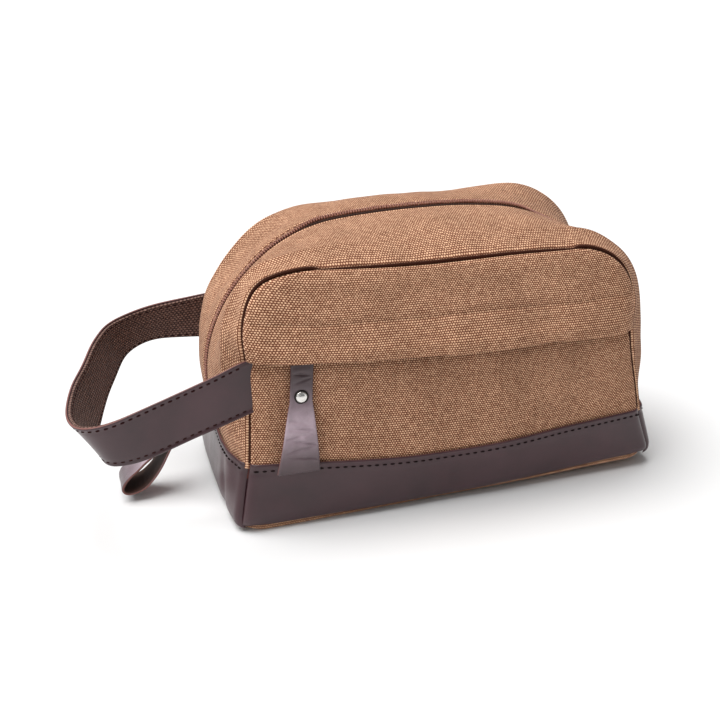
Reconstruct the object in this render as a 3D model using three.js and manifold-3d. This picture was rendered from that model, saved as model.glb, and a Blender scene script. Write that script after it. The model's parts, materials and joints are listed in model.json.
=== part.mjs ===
// A soft wash bag for shaving things: two panels joined by a boxed gusset, a curved zip over the
// top, a leather base band, a flap pocket on the front and a wrist strap on the left end.
// Millimetres. +X runs to the right along the bag, -Y is the front, +Z is up, z = 0 is the table.
import * as THREE from 'three';
import { mergeVertices } from 'three/addons/utils/BufferGeometryUtils.js';
import Module from 'manifold-3d';

const wasm = await Module();
wasm.setup();

// ---------------------------------------------------------------- driving dimensions
const GAP = 0.3;                 // running gap kept between neighbouring pieces
const CLOTH = 1.3;               // canvas thickness
const LINING = 0.6;              // lining cloth thickness
const LEATHER = 1.2;             // leather thickness

const HEIGHT = 150;              // height of the front and back top seams
const BASE_HALF_LENGTH = 128.6;
const BAND_HALF_LENGTH = 120.5;  // seam half length at the top of the leather band
const PANEL_HALF_LENGTH = 116.5; // seam half length from the pocket flap up
const BASE_HALF_DEPTH = 66;
const TOP_HALF_DEPTH = 62;
const PANEL_CORNER = 43;         // radius of the panels' top corners
const PANEL_BULGE = 10;          // how far a filled panel swells at its middle
const BAND_TOP = 41;             // top edge of the leather band
const CANVAS_LOW = 31;           // canvas runs this low behind the leather
const FLAP_EDGE = 98;            // lower edge of the pocket flap
const BASE_EDGE = 3;             // thickness of the base panel's turned edge
const END_BASE_HALF_LENGTH = 130.5; // the ends' middle, at the table

const ZIP_CENTRE_X = 42;         // centre of the zip's corner arcs
const ZIP_CENTRE_Z = 70;
const ZIP_RADIUS = 89.5;
const CREST = 161.5;             // height of the zip at the middle of the top
const ZIP_SLOT = 6.3;            // half width of the gap between the gusset's folded edges
const TAPE_REACH = 14;           // half width of the main zip's tape
const MOUTH_HALF_LENGTH = PANEL_HALF_LENGTH - PANEL_CORNER;
const GUSSET_INSET = CLOTH + GAP;

const SLIDER_REST = -10;         // degrees around the zip's left arc, from level
const PULL_SLOPE = 42;           // degrees the main pull hangs below level
const MAIN_BAIL_LENGTH = 13;
const MAIN_PULL_LENGTH = 55;

const POCKET_ZIP_Z = 108;        // height of the pocket zip's coil
const POCKET_ARC_Z = 100;        // the zip curves like the panel at this height
const POCKET_ZIP_HALF_LENGTH = 102;
const POCKET_SLIDER_X = -88;
const POCKET_LUG_Z = 108.5;      // the ring's upper bar, in the slider's lug
const POCKET_BAR_Z = 96;         // the bar that the pocket pull hangs from
const POCKET_BAR_OUT = 2.3;      // how far that bar stands in front of the zip's arc
const POCKET_PULL_LENGTH = 63;
const POCKET_PULL_TILT = 5.2;    // degrees, so the pull clears the leather band

const STRAP_WIDTH = 30;
const STRAP_GAP = 0.5;           // between the strap's leather and its webbing
const STRAP_ROOT_WIDTH = 0.35;   // share of the width that is left at the strap's sewn ends
const STRAP_TAPER = 12;          // length of the strap over which it narrows to that
const STRAP_PATH = [             // centre line of the wrist strap, by hand
  [-124.2, -65.6, 82.3], [-132, -67.6, 81], [-144, -70, 78.5], [-171, -75.5, 72], [-187, -74, 67.5],
  [-198, -68, 65.5], [-203.5, -55, 64.8], [-205.5, -34, 64.5], [-205, -8, 64.5], [-202, 14, 66.5],
  [-194, 36, 71], [-180, 55, 77], [-160, 66, 80.5], [-140, 68, 82], [-132, 67.5, 82.3],
  [-124.2, 65.6, 82.3],
];

const TAN = { color: 0x9c6b43, roughness: 0.92, metalness: 0 };
const DARK_LEATHER = { color: 0x3a2522, roughness: 0.42, metalness: 0 };
const WEBBING = { color: 0x3b2a25, roughness: 0.9, metalness: 0 };
const ZIP_TAPE = { color: 0x3a2620, roughness: 0.85, metalness: 0 };
const ZIP_COIL = { color: 0x4a3028, roughness: 0.5, metalness: 0 };
const LINING_CLOTH = { color: 0x4b3a30, roughness: 0.8, metalness: 0 };
const NICKEL = { color: 0xc9c7c2, roughness: 0.25, metalness: 1 };
const BOARD = { color: 0x55504a, roughness: 0.7, metalness: 0 };

// ---------------------------------------------------------------- small helpers
const bag = new THREE.Group();
const lerp = THREE.MathUtils.lerp;
const radians = THREE.MathUtils.degToRad;

function add(name, geometry, look) {
  const mesh = new THREE.Mesh(geometry, new THREE.MeshStandardMaterial(look));
  mesh.name = name;
  bag.add(mesh);
  return mesh;
}

// A closed solid: a box of nu x nv x 1 cells whose corners place(u, v, w) sets in space.
function mappedBox(nu, nv, place) {
  const box = new THREE.BoxGeometry(1, 1, 1, nu, nv, 1);
  return mapped(box, (x, y, z) => place(x + 0.5, y + 0.5, z + 0.5));
}

// Moves every vertex of a closed geometry and keeps its faces pointing outwards.
function mapped(geometry, place) {
  geometry.deleteAttribute('normal');
  geometry.deleteAttribute('uv');
  const merged = mergeVertices(geometry, 1e-5);
  const position = merged.attributes.position;
  for (let i = 0; i < position.count; i += 1) {
    position.setXYZ(i, ...place(position.getX(i), position.getY(i), position.getZ(i)));
  }
  if (signedVolume(merged) < 0) {
    merged.index.array.reverse();
  }
  return merged;
}

function signedVolume(geometry) {
  const corners = [new THREE.Vector3(), new THREE.Vector3(), new THREE.Vector3()];
  let volume = 0;
  for (let i = 0; i < geometry.index.count; i += 3) {
    corners.forEach((corner, k) => {
      corner.fromBufferAttribute(geometry.attributes.position, geometry.index.getX(i + k));
    });
    volume += corners[0].dot(corners[1].clone().cross(corners[2])) / 6;
  }
  return volume;
}

function solid(geometry) {
  const shape = geometry.attributes.normal ? mapped(geometry, (...point) => point) : geometry;
  const vertProperties = new Float32Array(shape.attributes.position.array);
  const triVerts = new Uint32Array(shape.index.array);
  return new wasm.Manifold(new wasm.Mesh({ numProp: 3, vertProperties, triVerts }));
}

function geometryOf(manifold) {
  const mesh = manifold.getMesh();
  const geometry = new THREE.BufferGeometry();
  geometry.setAttribute('position', new THREE.BufferAttribute(mesh.vertProperties, 3));
  geometry.setIndex(new THREE.BufferAttribute(mesh.triVerts, 1));
  return geometry;
}

function steps(from, to, count) {
  return Array.from({ length: count + 1 }, (_, i) => lerp(from, to, i / count));
}

// ---------------------------------------------------------------- the bag's outer form
function halfDepth(z) {
  return lerp(BASE_HALF_DEPTH, TOP_HALF_DEPTH, z / HEIGHT);
}

// Half length of the seam between a panel and the gusset, at height z.
function seamHalfLength(z) {
  if (z < BAND_TOP) {
    return lerp(BASE_HALF_LENGTH, BAND_HALF_LENGTH, z / BAND_TOP);
  }
  if (z < FLAP_EDGE) {
    return lerp(BAND_HALF_LENGTH, PANEL_HALF_LENGTH, (z - BAND_TOP) / (FLAP_EDGE - BAND_TOP));
  }
  const rise = Math.max(z - (HEIGHT - PANEL_CORNER), 0);
  return MOUTH_HALF_LENGTH + Math.sqrt(Math.max(PANEL_CORNER ** 2 - rise ** 2, 0));
}

function swell(z) {
  const t = z / HEIGHT;
  return 4 * t * (1 - t);
}

// How far a panel stands out from the middle plane at (x, z).
function panelOut(x, z) {
  const across = 1 - (x / seamHalfLength(z)) ** 2;
  return halfDepth(z) + PANEL_BULGE * swell(z) * Math.max(across, 0);
}

// The zip's line in the middle plane: a corner arc, and a flatter arc over the top.
const TOP_ARC_DROP = (ZIP_CENTRE_X ** 2 - (CREST - ZIP_CENTRE_Z - ZIP_RADIUS) ** 2)
  / (2 * (CREST - ZIP_CENTRE_Z - ZIP_RADIUS));
const TOP_RADIUS = TOP_ARC_DROP + CREST - ZIP_CENTRE_Z;
const TOP_ARC_EDGE = ZIP_CENTRE_X * (1 + ZIP_RADIUS / Math.hypot(ZIP_CENTRE_X, TOP_ARC_DROP));

function crestHeight(x) {
  const span = Math.abs(x);
  if (span < TOP_ARC_EDGE) {
    return CREST - TOP_RADIUS + Math.sqrt(TOP_RADIUS ** 2 - span ** 2);
  }
  return ZIP_CENTRE_Z + Math.sqrt(ZIP_RADIUS ** 2 - (span - ZIP_CENTRE_X) ** 2);
}

function crestHalfLength(z) {
  const atBand = ZIP_CENTRE_X + Math.sqrt(ZIP_RADIUS ** 2 - (BAND_TOP - ZIP_CENTRE_Z) ** 2);
  if (z < BAND_TOP) {
    return lerp(END_BASE_HALF_LENGTH, atBand, z / BAND_TOP);
  }
  return ZIP_CENTRE_X + Math.sqrt(ZIP_RADIUS ** 2 - (z - ZIP_CENTRE_Z) ** 2);
}

// A rib crosses the gusset from seam to seam. It holds the seam's point, the zip's point and
// the outward direction at each, all in the XZ plane of the right-hand end.
function sideRib(z) {
  const slope = z < BAND_TOP ? 0 : Math.asin((z - ZIP_CENTRE_Z) / ZIP_RADIUS);
  return {
    seam: [seamHalfLength(z), z],
    crest: [crestHalfLength(z), z],
    seamOut: [1, 0],
    crestOut: [Math.cos(slope), Math.sin(slope)],
  };
}

function cornerRib(t) {
  const turn = (t * Math.PI) / 2;
  const low = Math.asin((HEIGHT - PANEL_CORNER - ZIP_CENTRE_Z) / ZIP_RADIUS);
  const high = Math.acos((MOUTH_HALF_LENGTH - ZIP_CENTRE_X) / ZIP_RADIUS);
  const slope = lerp(low, high, t);
  const lean = lerp(low, Math.PI / 2, t);
  return {
    seam: [
      MOUTH_HALF_LENGTH + PANEL_CORNER * Math.cos(turn),
      HEIGHT - PANEL_CORNER + PANEL_CORNER * Math.sin(turn),
    ],
    crest: [
      ZIP_CENTRE_X + ZIP_RADIUS * Math.cos(slope),
      ZIP_CENTRE_Z + ZIP_RADIUS * Math.sin(slope),
    ],
    seamOut: [Math.cos(turn), Math.sin(turn)],
    crestOut: [Math.cos(lean), Math.sin(lean)],
  };
}

function topRib(x) {
  return { seam: [x, HEIGHT], crest: [x, crestHeight(x)], seamOut: [0, 1], crestOut: [0, 1] };
}

// The point of the gusset at depth y on a rib, moved out by `out`, on the end that `end` names.
function gussetPoint(rib, y, out, end) {
  const reach = Math.min(Math.abs(y) / halfDepth(rib.seam[1]), 1);
  const rise = 1 - reach ** 3;
  const point = rib.seam.map((value, i) => lerp(value, rib.crest[i], rise));
  const normal = rib.seamOut.map((value, i) => lerp(value, rib.crestOut[i], rise));
  const length = Math.hypot(...normal);
  return [end * (point[0] + (normal[0] / length) * out), y, point[1] + (normal[1] / length) * out];
}

// A strip of the gusset between two depths, which are functions of the rib.
function gussetStrip(ribs, nearY, farY, cells, outer, inner, end = 1) {
  return mappedBox(ribs.length - 1, cells, (u, v, w) => {
    const rib = ribs[Math.round(u * (ribs.length - 1))];
    const y = lerp(nearY(rib), farY(rib), v);
    return gussetPoint(rib, y, lerp(inner, outer, w), end);
  });
}

const SIDE_TOP = HEIGHT - PANEL_CORNER;
const SIDE_CELLS = 5;
const CORNER_CELLS = 7;
const BAND_CELLS = 3;
const cornerRibs = steps(1 / CORNER_CELLS, 1, CORNER_CELLS - 1).map(cornerRib);
const endRibs = [CANVAS_LOW, ...steps(BAND_TOP, SIDE_TOP, SIDE_CELLS)].map(sideRib).concat(cornerRibs);
const zipRibs = steps(BAND_TOP, SIDE_TOP, 8).map(sideRib).concat(cornerRibs);
const bandRibs = steps(BASE_EDGE + GAP, BAND_TOP, BAND_CELLS).map(sideRib);
const mouthEdge = MOUTH_HALF_LENGTH - GAP;
const mouthRibs = steps(-mouthEdge, mouthEdge, 10).map(topRib);
const seamDepth = (rib) => halfDepth(rib.seam[1]) - GUSSET_INSET;
const ENDS = [['left', -1], ['right', 1]];
const SIDES = [['front', -1], ['rear', 1]];
const BAND_ROOM = 0.55;          // the end bands cross the gusset's curve, so they keep more room

// A panel's wall between two heights: side is -1 at the front and 1 at the back.
function panelWall(side, heights, inset, outer, inner, cells = 12) {
  return mappedBox(cells, heights.length - 1, (u, v, w) => {
    const z = heights[Math.round(v * (heights.length - 1))];
    const x = (2 * u - 1) * (seamHalfLength(z) - inset);
    const out = w > 0.5 ? outer : inner;
    const offset = typeof out === 'function' ? out(z, Math.abs(2 * u - 1)) : out;
    return [x, side * (panelOut(x, z) + offset), z];
  });
}

const cornerHeights = steps(0, 1, 6).map((t) => SIDE_TOP + PANEL_CORNER * Math.sin((t * Math.PI) / 2));

// ---------------------------------------------------------------- base
const BASE_BOW = 4;              // how far the ends' control points stand out, so they bow

function basePanel() {
  const depth = BASE_HALF_DEPTH + LEATHER + GAP;
  const bow = END_BASE_HALF_LENGTH + BASE_BOW;
  const shape = new THREE.Shape();
  shape.moveTo(-BASE_HALF_LENGTH, -depth);
  shape.lineTo(BASE_HALF_LENGTH, -depth);
  shape.quadraticCurveTo(bow, 0, BASE_HALF_LENGTH, depth);
  shape.lineTo(-BASE_HALF_LENGTH, depth);
  shape.quadraticCurveTo(-bow, 0, -BASE_HALF_LENGTH, -depth);
  return new THREE.ExtrudeGeometry(shape, { depth: BASE_EDGE, bevelEnabled: false, curveSegments: 8 });
}

function plate(halfLength, halfWidth, bottom, thickness) {
  return new THREE.BoxGeometry(2 * halfLength, 2 * halfWidth, thickness)
    .translate(0, 0, bottom + thickness / 2);
}

const BOARD_THICKNESS = 2;
const BOARD_HALF_LENGTH = BASE_HALF_LENGTH - 3.6;
const BOARD_HALF_WIDTH = BASE_HALF_DEPTH - 4;
const LINING_BASE_HALF_LENGTH = BOARD_HALF_LENGTH - 3;
const LINING_BASE_HALF_WIDTH = BOARD_HALF_WIDTH - 4;
const BOARD_BOTTOM = BASE_EDGE + GAP;
const LINING_BASE_BOTTOM = BOARD_BOTTOM + BOARD_THICKNESS + GAP;
const LINING_FLOOR = LINING_BASE_BOTTOM + LINING + GAP;
add('base_panel', basePanel(), TAN);
add('base_board', plate(BOARD_HALF_LENGTH, BOARD_HALF_WIDTH, BOARD_BOTTOM, BOARD_THICKNESS), BOARD);
add('lining_base',
  plate(LINING_BASE_HALF_LENGTH, LINING_BASE_HALF_WIDTH, LINING_BASE_BOTTOM, LINING), LINING_CLOTH);

for (const [name, side] of [['front', -1], ['back', 1]]) {
  const heights = steps(BASE_EDGE + GAP, BAND_TOP, BAND_CELLS);
  add(`leather_band_${name}`, panelWall(side, heights, 0, GAP + LEATHER, GAP), DARK_LEATHER);
}
for (const [name, end] of ENDS) {
  const depth = (rib) => halfDepth(rib.seam[1]);
  const strip = gussetStrip(bandRibs, (rib) => -depth(rib), depth, 10, BAND_ROOM + LEATHER, BAND_ROOM, end);
  add(`leather_band_${name}`, strip, DARK_LEATHER);
}

// ---------------------------------------------------------------- panels
const POCKET_PANEL_TOP = 101;
const FLAP_ROOM = 4.1;           // room behind the flap's edge for the pull's ring
const ZIP_ROOM = 5.0;            // room behind the yoke for the pocket slider
const SEAM_HOLD = 14;            // how sharply that room closes at the side seams

// The yoke's inner face, measured out from the panel's own surface. Its ends are caught in the
// side seams, so the room closes there; across is 0 at the middle and 1 at a seam.
function yokeInner(z, across) {
  const atSeam = z < SIDE_TOP ? GAP : -CLOTH;
  const held = across ** SEAM_HOLD;
  if (z < POCKET_ZIP_Z) {
    const rise = (z - FLAP_EDGE) / (POCKET_ZIP_Z - FLAP_EDGE);
    return lerp(lerp(FLAP_ROOM, ZIP_ROOM, rise), atSeam, held);
  }
  const t = Math.min((z - POCKET_ZIP_Z) / (HEIGHT - POCKET_ZIP_Z), 1);
  return lerp(lerp(ZIP_ROOM, -CLOTH, t ** 1.5), atSeam, held);
}

const pocketHeights = [CANVAS_LOW, ...steps(BAND_TOP, FLAP_EDGE, 4), POCKET_PANEL_TOP];
const yokeHeights = [...steps(FLAP_EDGE, SIDE_TOP, 2), ...cornerHeights.slice(1)];
const backHeights = [CANVAS_LOW, ...steps(BAND_TOP, SIDE_TOP, SIDE_CELLS), ...cornerHeights.slice(1)];
add('pocket_panel', panelWall(-1, pocketHeights, 0, 0, -CLOTH), TAN);
add('front_yoke', panelWall(-1, yokeHeights, 0, (z, across) => yokeInner(z, across) + CLOTH, yokeInner), TAN);
add('back_panel', panelWall(1, backHeights, 0, 0, -CLOTH), TAN);

const POCKET_DEPTH = 5.4;        // the pocket's back wall lies this far behind the panel
const POCKET_BACK_HEIGHTS = steps(45, 118, 5);
const POCKET_BACK_INSET = 5;
const LINING_ROOM = 0.7;         // looser than the other layers, which are less curved
const LINING_INSET = 6;
const LINING_TOP = HEIGHT - 3.5;
const SLIP_POCKET_HEIGHTS = steps(30, 95, 3);
const SLIP_POCKET_INSET = 26;
const FRONT_LINING = POCKET_DEPTH + LINING + LINING_ROOM;
const BACK_LINING = CLOTH + LINING_ROOM;
const liningHeights = [
  ...steps(LINING_FLOOR, SIDE_TOP, SIDE_CELLS),
  ...steps(SIDE_TOP, LINING_TOP, SIDE_CELLS).slice(1),
];

function addLining(name, side, heights, inset, behind) {
  add(name, panelWall(side, heights, inset, -behind, -behind - LINING), LINING_CLOTH);
}

addLining('pocket_backing', -1, POCKET_BACK_HEIGHTS, POCKET_BACK_INSET, POCKET_DEPTH);
addLining('lining_front', -1, liningHeights, LINING_INSET, FRONT_LINING);
addLining('lining_back', 1, liningHeights, LINING_INSET, BACK_LINING);
addLining('slip_pocket', 1, SLIP_POCKET_HEIGHTS, SLIP_POCKET_INSET, BACK_LINING + LINING + GAP);

// ---------------------------------------------------------------- gusset and main zip
// Layers, measured out from the gusset's face: cloth, tape and coil.
const TAPE_TOP = -CLOTH - GAP;
const TAPE_THICKNESS = 0.7;
const COIL_TOP = -0.7;
const COIL_BOTTOM = -3.1;
const COIL_INNER = 0.8;
const COIL_OUTER = 3.1;
const TAPE_BOTTOM = TAPE_TOP - TAPE_THICKNESS;
const LINING_LAYER = TAPE_BOTTOM - GAP;
const LINING_MARGIN = 1;         // the lining's strips stop this far short of their neighbours
const GUSSET_CELLS = 6;

// One half of the zip's wall: the cloth beside the zip, and its tape, coil and lining.
function gussetHalf(place, clothRibs, tapeRibs, side, end) {
  const at = (depth) => () => side * depth;
  const cloth = gussetStrip(clothRibs, at(ZIP_SLOT), (rib) => side * seamDepth(rib), GUSSET_CELLS,
    0, -CLOTH, end);
  const tape = gussetStrip(tapeRibs, at(COIL_OUTER + GAP), at(TAPE_REACH), 1, TAPE_TOP, TAPE_BOTTOM, end);
  const coil = gussetStrip(tapeRibs, at(COIL_INNER), at(COIL_OUTER), 1, COIL_TOP, COIL_BOTTOM, end);
  const lining = gussetStrip(tapeRibs, at(TAPE_REACH + LINING_MARGIN),
    (rib) => side * (seamDepth(rib) - FRONT_LINING - LINING_MARGIN), BAND_CELLS,
    LINING_LAYER, LINING_LAYER - LINING, end);
  add(`gusset_${place}`, cloth, TAN);
  add(`zip_tape_${place}`, tape, ZIP_TAPE);
  add(`zip_coil_${place}`, coil, ZIP_COIL);
  add(`lining_gusset_${place}`, lining, LINING_CLOTH);
}

for (const [sideName, side] of SIDES) {
  for (const [endName, end] of ENDS) {
    gussetHalf(`${endName}_${sideName}`, endRibs, zipRibs, side, end);
  }
  gussetHalf(`top_${sideName}`, mouthRibs, mouthRibs, side, 1);
}
for (const [name, end] of ENDS) {
  const ribs = steps(LINING_FLOOR, BAND_TOP - GAP, BAND_CELLS).map(sideRib);
  const depth = (rib) => halfDepth(rib.seam[1]) - FRONT_LINING - LINING - LINING_MARGIN;
  const strip = gussetStrip(ribs, (rib) => -depth(rib), depth, GUSSET_CELLS,
    LINING_LAYER, LINING_LAYER - LINING, end);
  add(`lining_end_${name}`, strip, LINING_CLOTH);
}

// ---------------------------------------------------------------- main slider, bail and pull
// Around the left arc: a block between two radii, two angles and two depths.
function arcBlock(rLow, rHigh, fromAngle, toAngle, yLow, yHigh, cells = 4) {
  return mappedBox(cells, 1, (u, v, w) => {
    const angle = radians(lerp(fromAngle, toAngle, u));
    const r = lerp(rLow, rHigh, w);
    return [
      -ZIP_CENTRE_X - r * Math.cos(angle),
      lerp(yLow, yHigh, v),
      ZIP_CENTRE_Z + r * Math.sin(angle),
    ];
  });
}

const PLATE_HALF_ANGLE = 4.2;    // degrees of the arc
const PLATE_HALF_WIDTH = 5.2;
const FLANGE = 1;
const MERGE = 0.2;               // joined blocks reach this far into each other
const PLATE_BOTTOM = ZIP_RADIUS - 0.3;
const PLATE_TOP = ZIP_RADIUS + 0.9;
const UNDER_TOP = ZIP_RADIUS - 3.5;
const UNDER_BOTTOM = ZIP_RADIUS - 4.8;
const WEDGE_ANGLE = 2;           // the wedge between the coil's halves, degrees of the arc
const WEDGE_HALF_WIDTH = COIL_INNER - GAP - 0.05;
const MAIN_BAR_R = 0.7;          // radius of the main bail's wire
const LUG_BORE = 1.0;            // half size of the lug's square tunnel
const LUG_HEIGHT = 3.4;
const LUG_HALF_ANGLE = 1.6;
const LUG_HALF_WIDTH = 2.2;
const LUG_RADIUS = PLATE_TOP + 1.5;

const restAngle = radians(SLIDER_REST);
const mainBar = [
  -ZIP_CENTRE_X - LUG_RADIUS * Math.cos(restAngle), 0, ZIP_CENTRE_Z + LUG_RADIUS * Math.sin(restAngle),
];
const slope = radians(PULL_SLOPE);
const outerBar = [
  mainBar[0] - MAIN_BAIL_LENGTH * Math.cos(slope), 0, mainBar[2] - MAIN_BAIL_LENGTH * Math.sin(slope),
];

function mainSlider() {
  const low = SLIDER_REST - PLATE_HALF_ANGLE;
  const high = SLIDER_REST + PLATE_HALF_ANGLE;
  const half = PLATE_HALF_WIDTH;
  const block = (...sizes) => solid(arcBlock(...sizes));
  let body = block(PLATE_BOTTOM, PLATE_TOP, low, high, -half, half)
    .add(block(UNDER_BOTTOM, UNDER_TOP, low, high, -half, half));
  for (const [near, far] of [[-half, FLANGE - half], [half - FLANGE, half]]) {
    body = body
      .add(block(ZIP_RADIUS + TAPE_TOP + GAP, PLATE_BOTTOM + MERGE, low, high, near, far))
      .add(block(UNDER_TOP - MERGE, ZIP_RADIUS + TAPE_BOTTOM - GAP, low, high, near, far));
  }
  const wedge = block(UNDER_TOP - MERGE, PLATE_BOTTOM + MERGE, high - WEDGE_ANGLE, high,
    -WEDGE_HALF_WIDTH, WEDGE_HALF_WIDTH, 2);
  const lug = block(PLATE_TOP - MERGE, PLATE_TOP + LUG_HEIGHT,
    SLIDER_REST - LUG_HALF_ANGLE, SLIDER_REST + LUG_HALF_ANGLE, -LUG_HALF_WIDTH, LUG_HALF_WIDTH);
  const bore = new THREE.BoxGeometry(2 * LUG_BORE, 4 * LUG_HALF_WIDTH, 2 * LUG_BORE)
    .rotateY(restAngle)
    .translate(...mainBar);
  return body.add(wedge).add(lug).subtract(solid(bore));
}

// Sets a shape drawn along (length, width, thickness) from a bar, pointing down the slope.
function alongSlope(geometry, bar) {
  return geometry.rotateZ(Math.PI).rotateY(-slope).translate(...bar);
}

// A flat wire ring: the outline of a rounded rectangle with a smaller one cut out of it.
function ring(length, width, wire) {
  const shape = new THREE.Shape();
  outline(shape, -wire, length + wire, width / 2 + wire);
  const hole = new THREE.Path();
  outline(hole, wire, length - wire, width / 2 - wire);
  shape.holes.push(hole);
  return new THREE.ExtrudeGeometry(shape, { depth: 2 * wire, bevelEnabled: false, curveSegments: 2 })
    .translate(0, 0, -wire);
}

function outline(path, low, high, half) {
  const cut = 0.8;
  const side = [[low + cut, -half], [high - cut, -half], [high, cut - half]];
  const back = [...side].reverse().map(([l, t]) => [l, -t]);
  trace(path, [...side, ...back, [low, half - cut], [low, cut - half]]);
}

// Draws a closed outline into a path.
function trace(path, points) {
  path.moveTo(...points[0]);
  points.slice(1).forEach((point) => path.lineTo(...point));
  path.closePath();
  return path;
}

// The lower half of an outline that runs out along its upper half, both ends left out.
function mirroredBack(points) {
  return points.slice(1, -1).reverse().map(([l, t]) => [l, -t]);
}

// A leather pull seen from its edge: wrapped round a bar of radius bore, two plies, folded at the
// far end. stations run out from the bar as [distance, half thickness]; so do the hollow's.
function foldedPull(wrap, bore, stations, hollow, width) {
  const turns = steps(0.62 * Math.PI, 1.38 * Math.PI, 6);
  const bend = turns.map((a) => [wrap * Math.cos(a), wrap * Math.sin(a)]);
  const lower = stations.map(([l, t]) => [l, -t]);
  const shape = trace(new THREE.Shape(), [...bend, ...lower, ...[...stations].reverse().slice(1)]);
  const eye = steps(0, 2 * Math.PI, 8).slice(1).map((a) => [bore * Math.cos(a), bore * Math.sin(a)]);
  shape.holes.push(trace(new THREE.Path(), eye));
  if (hollow.length) {
    shape.holes.push(trace(new THREE.Path(), [...hollow, ...mirroredBack(hollow)]));
  }
  const flat = new THREE.ExtrudeGeometry(shape, { depth: 1, bevelEnabled: false });
  return mapped(flat, (l, t, e) => [l, (e - 0.5) * width(l), t]);
}

const RIVET_CAP = 3.4;
const RIVET_POST = 1.4;
const RIVET_BACK = 0.4;          // thickness of the rivet's flat back
const RIVET_SIDES = 16;

// A rivet lying along +Z through leather of thickness grip: domed cap, post and flat back.
function rivet(grip) {
  const half = grip / 2;
  const backRadius = RIVET_CAP * 0.85;
  const profile = [
    [0, -half - RIVET_BACK], [backRadius, -half - RIVET_BACK], [backRadius, -half],
    [RIVET_POST, -half], [RIVET_POST, half], [RIVET_CAP, half],
    [RIVET_CAP, half + 0.5], [RIVET_CAP * 0.6, half + 1.1], [0, half + 1.3],
  ].map(([r, h]) => new THREE.Vector2(r, h));
  return new THREE.LatheGeometry(profile, RIVET_SIDES).rotateX(Math.PI / 2);
}

// The rivet's hole through a pull, at a distance along it.
function rivetHole(distance) {
  const radius = RIVET_POST + GAP;
  const drill = new THREE.CylinderGeometry(radius, radius, 20, RIVET_SIDES);
  return solid(drill.rotateX(Math.PI / 2).translate(distance, 0, 0));
}

// A pull's width: narrow at the bar, flaring to the far end.
function flare(narrow, wide, from, to) {
  return (l) => lerp(narrow, wide, THREE.MathUtils.clamp((l - from) / (to - from), 0, 1));
}

const MAIN_PULL_HALF = 1.25;
const MAIN_NARROW = 13;
const MAIN_WIDE = 23;
const MAIN_RIVET_AT = 9;
const MAIN_WRAP = 2.2;           // outer radius of the leather round the bail
const MAIN_EYE = MAIN_BAR_R + 0.55;

function mainPull() {
  const stations = [
    [3, MAIN_PULL_HALF], [14, MAIN_PULL_HALF], [23, 2.3], [32, 3.9], [41, 4.8], [48, 4.2],
    [53, 2.3], [MAIN_PULL_LENGTH, 0],
  ];
  const hollow = [[17, 0], [23, 1.1], [32, 2.7], [41, 3.6], [47, 3.1], [51.5, 1.5], [53.6, 0]];
  const width = flare(MAIN_NARROW, MAIN_WIDE, 10, MAIN_PULL_LENGTH);
  const pull = foldedPull(MAIN_WRAP, MAIN_EYE, stations, hollow, width);
  return solid(pull).subtract(rivetHole(MAIN_RIVET_AT));
}

add('main_slider', geometryOf(mainSlider()), NICKEL);
add('main_bail', alongSlope(ring(MAIN_BAIL_LENGTH, MAIN_NARROW + 3, MAIN_BAR_R), mainBar), NICKEL);
add('main_pull', alongSlope(geometryOf(mainPull()), outerBar), DARK_LEATHER);
const mainRivet = rivet(2 * MAIN_PULL_HALF + GAP).translate(MAIN_RIVET_AT, 0, 0);
add('main_pull_rivet', alongSlope(mainRivet, outerBar), NICKEL);

// ---------------------------------------------------------------- pocket zip and its pull
const pocketSagitta = PANEL_BULGE * swell(POCKET_ARC_Z);
const POCKET_RADIUS = (PANEL_HALF_LENGTH ** 2 + pocketSagitta ** 2) / (2 * pocketSagitta);
const pocketCrest = halfDepth(POCKET_ARC_Z) + pocketSagitta;

// A block that follows the pocket zip's arc in plan.
function pocketBlock(xLow, xHigh, outLow, outHigh, zLow, zHigh, cells = 2) {
  return mappedBox(cells, 1, (u, v, w) => {
    const angle = lerp(Math.asin(xLow / POCKET_RADIUS), Math.asin(xHigh / POCKET_RADIUS), u);
    const r = POCKET_RADIUS + lerp(outLow, outHigh, w);
    return [r * Math.sin(angle), POCKET_RADIUS - pocketCrest - r * Math.cos(angle), lerp(zLow, zHigh, v)];
  });
}

// The pocket zip's layers, measured out from its arc, and its rows, measured from its middle.
const POCKET_COIL_IN = -2.9;
const POCKET_COIL_OUT = -0.9;
const POCKET_COIL_ROWS = [0.7, 2.6];
const POCKET_TAPE_IN = -2.7;
const POCKET_TAPE_OUT = -2.1;
const POCKET_TAPE_ROWS = [2.9, 12];
const POCKET_ZIP_CELLS = 12;

function pocketZipRow(side, rows, inner, outer) {
  const [low, high] = rows.map((row) => POCKET_ZIP_Z + side * row).sort((a, b) => a - b);
  const half = POCKET_ZIP_HALF_LENGTH;
  return pocketBlock(-half, half, inner, outer, low, high, POCKET_ZIP_CELLS);
}

for (const [name, side] of [['lower', -1], ['upper', 1]]) {
  const coil = pocketZipRow(side, POCKET_COIL_ROWS, POCKET_COIL_IN, POCKET_COIL_OUT);
  const tape = pocketZipRow(side, POCKET_TAPE_ROWS, POCKET_TAPE_IN, POCKET_TAPE_OUT);
  add(`pocket_zip_coil_${name}`, coil, ZIP_COIL);
  add(`pocket_zip_tape_${name}`, tape, ZIP_TAPE);
}

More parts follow.
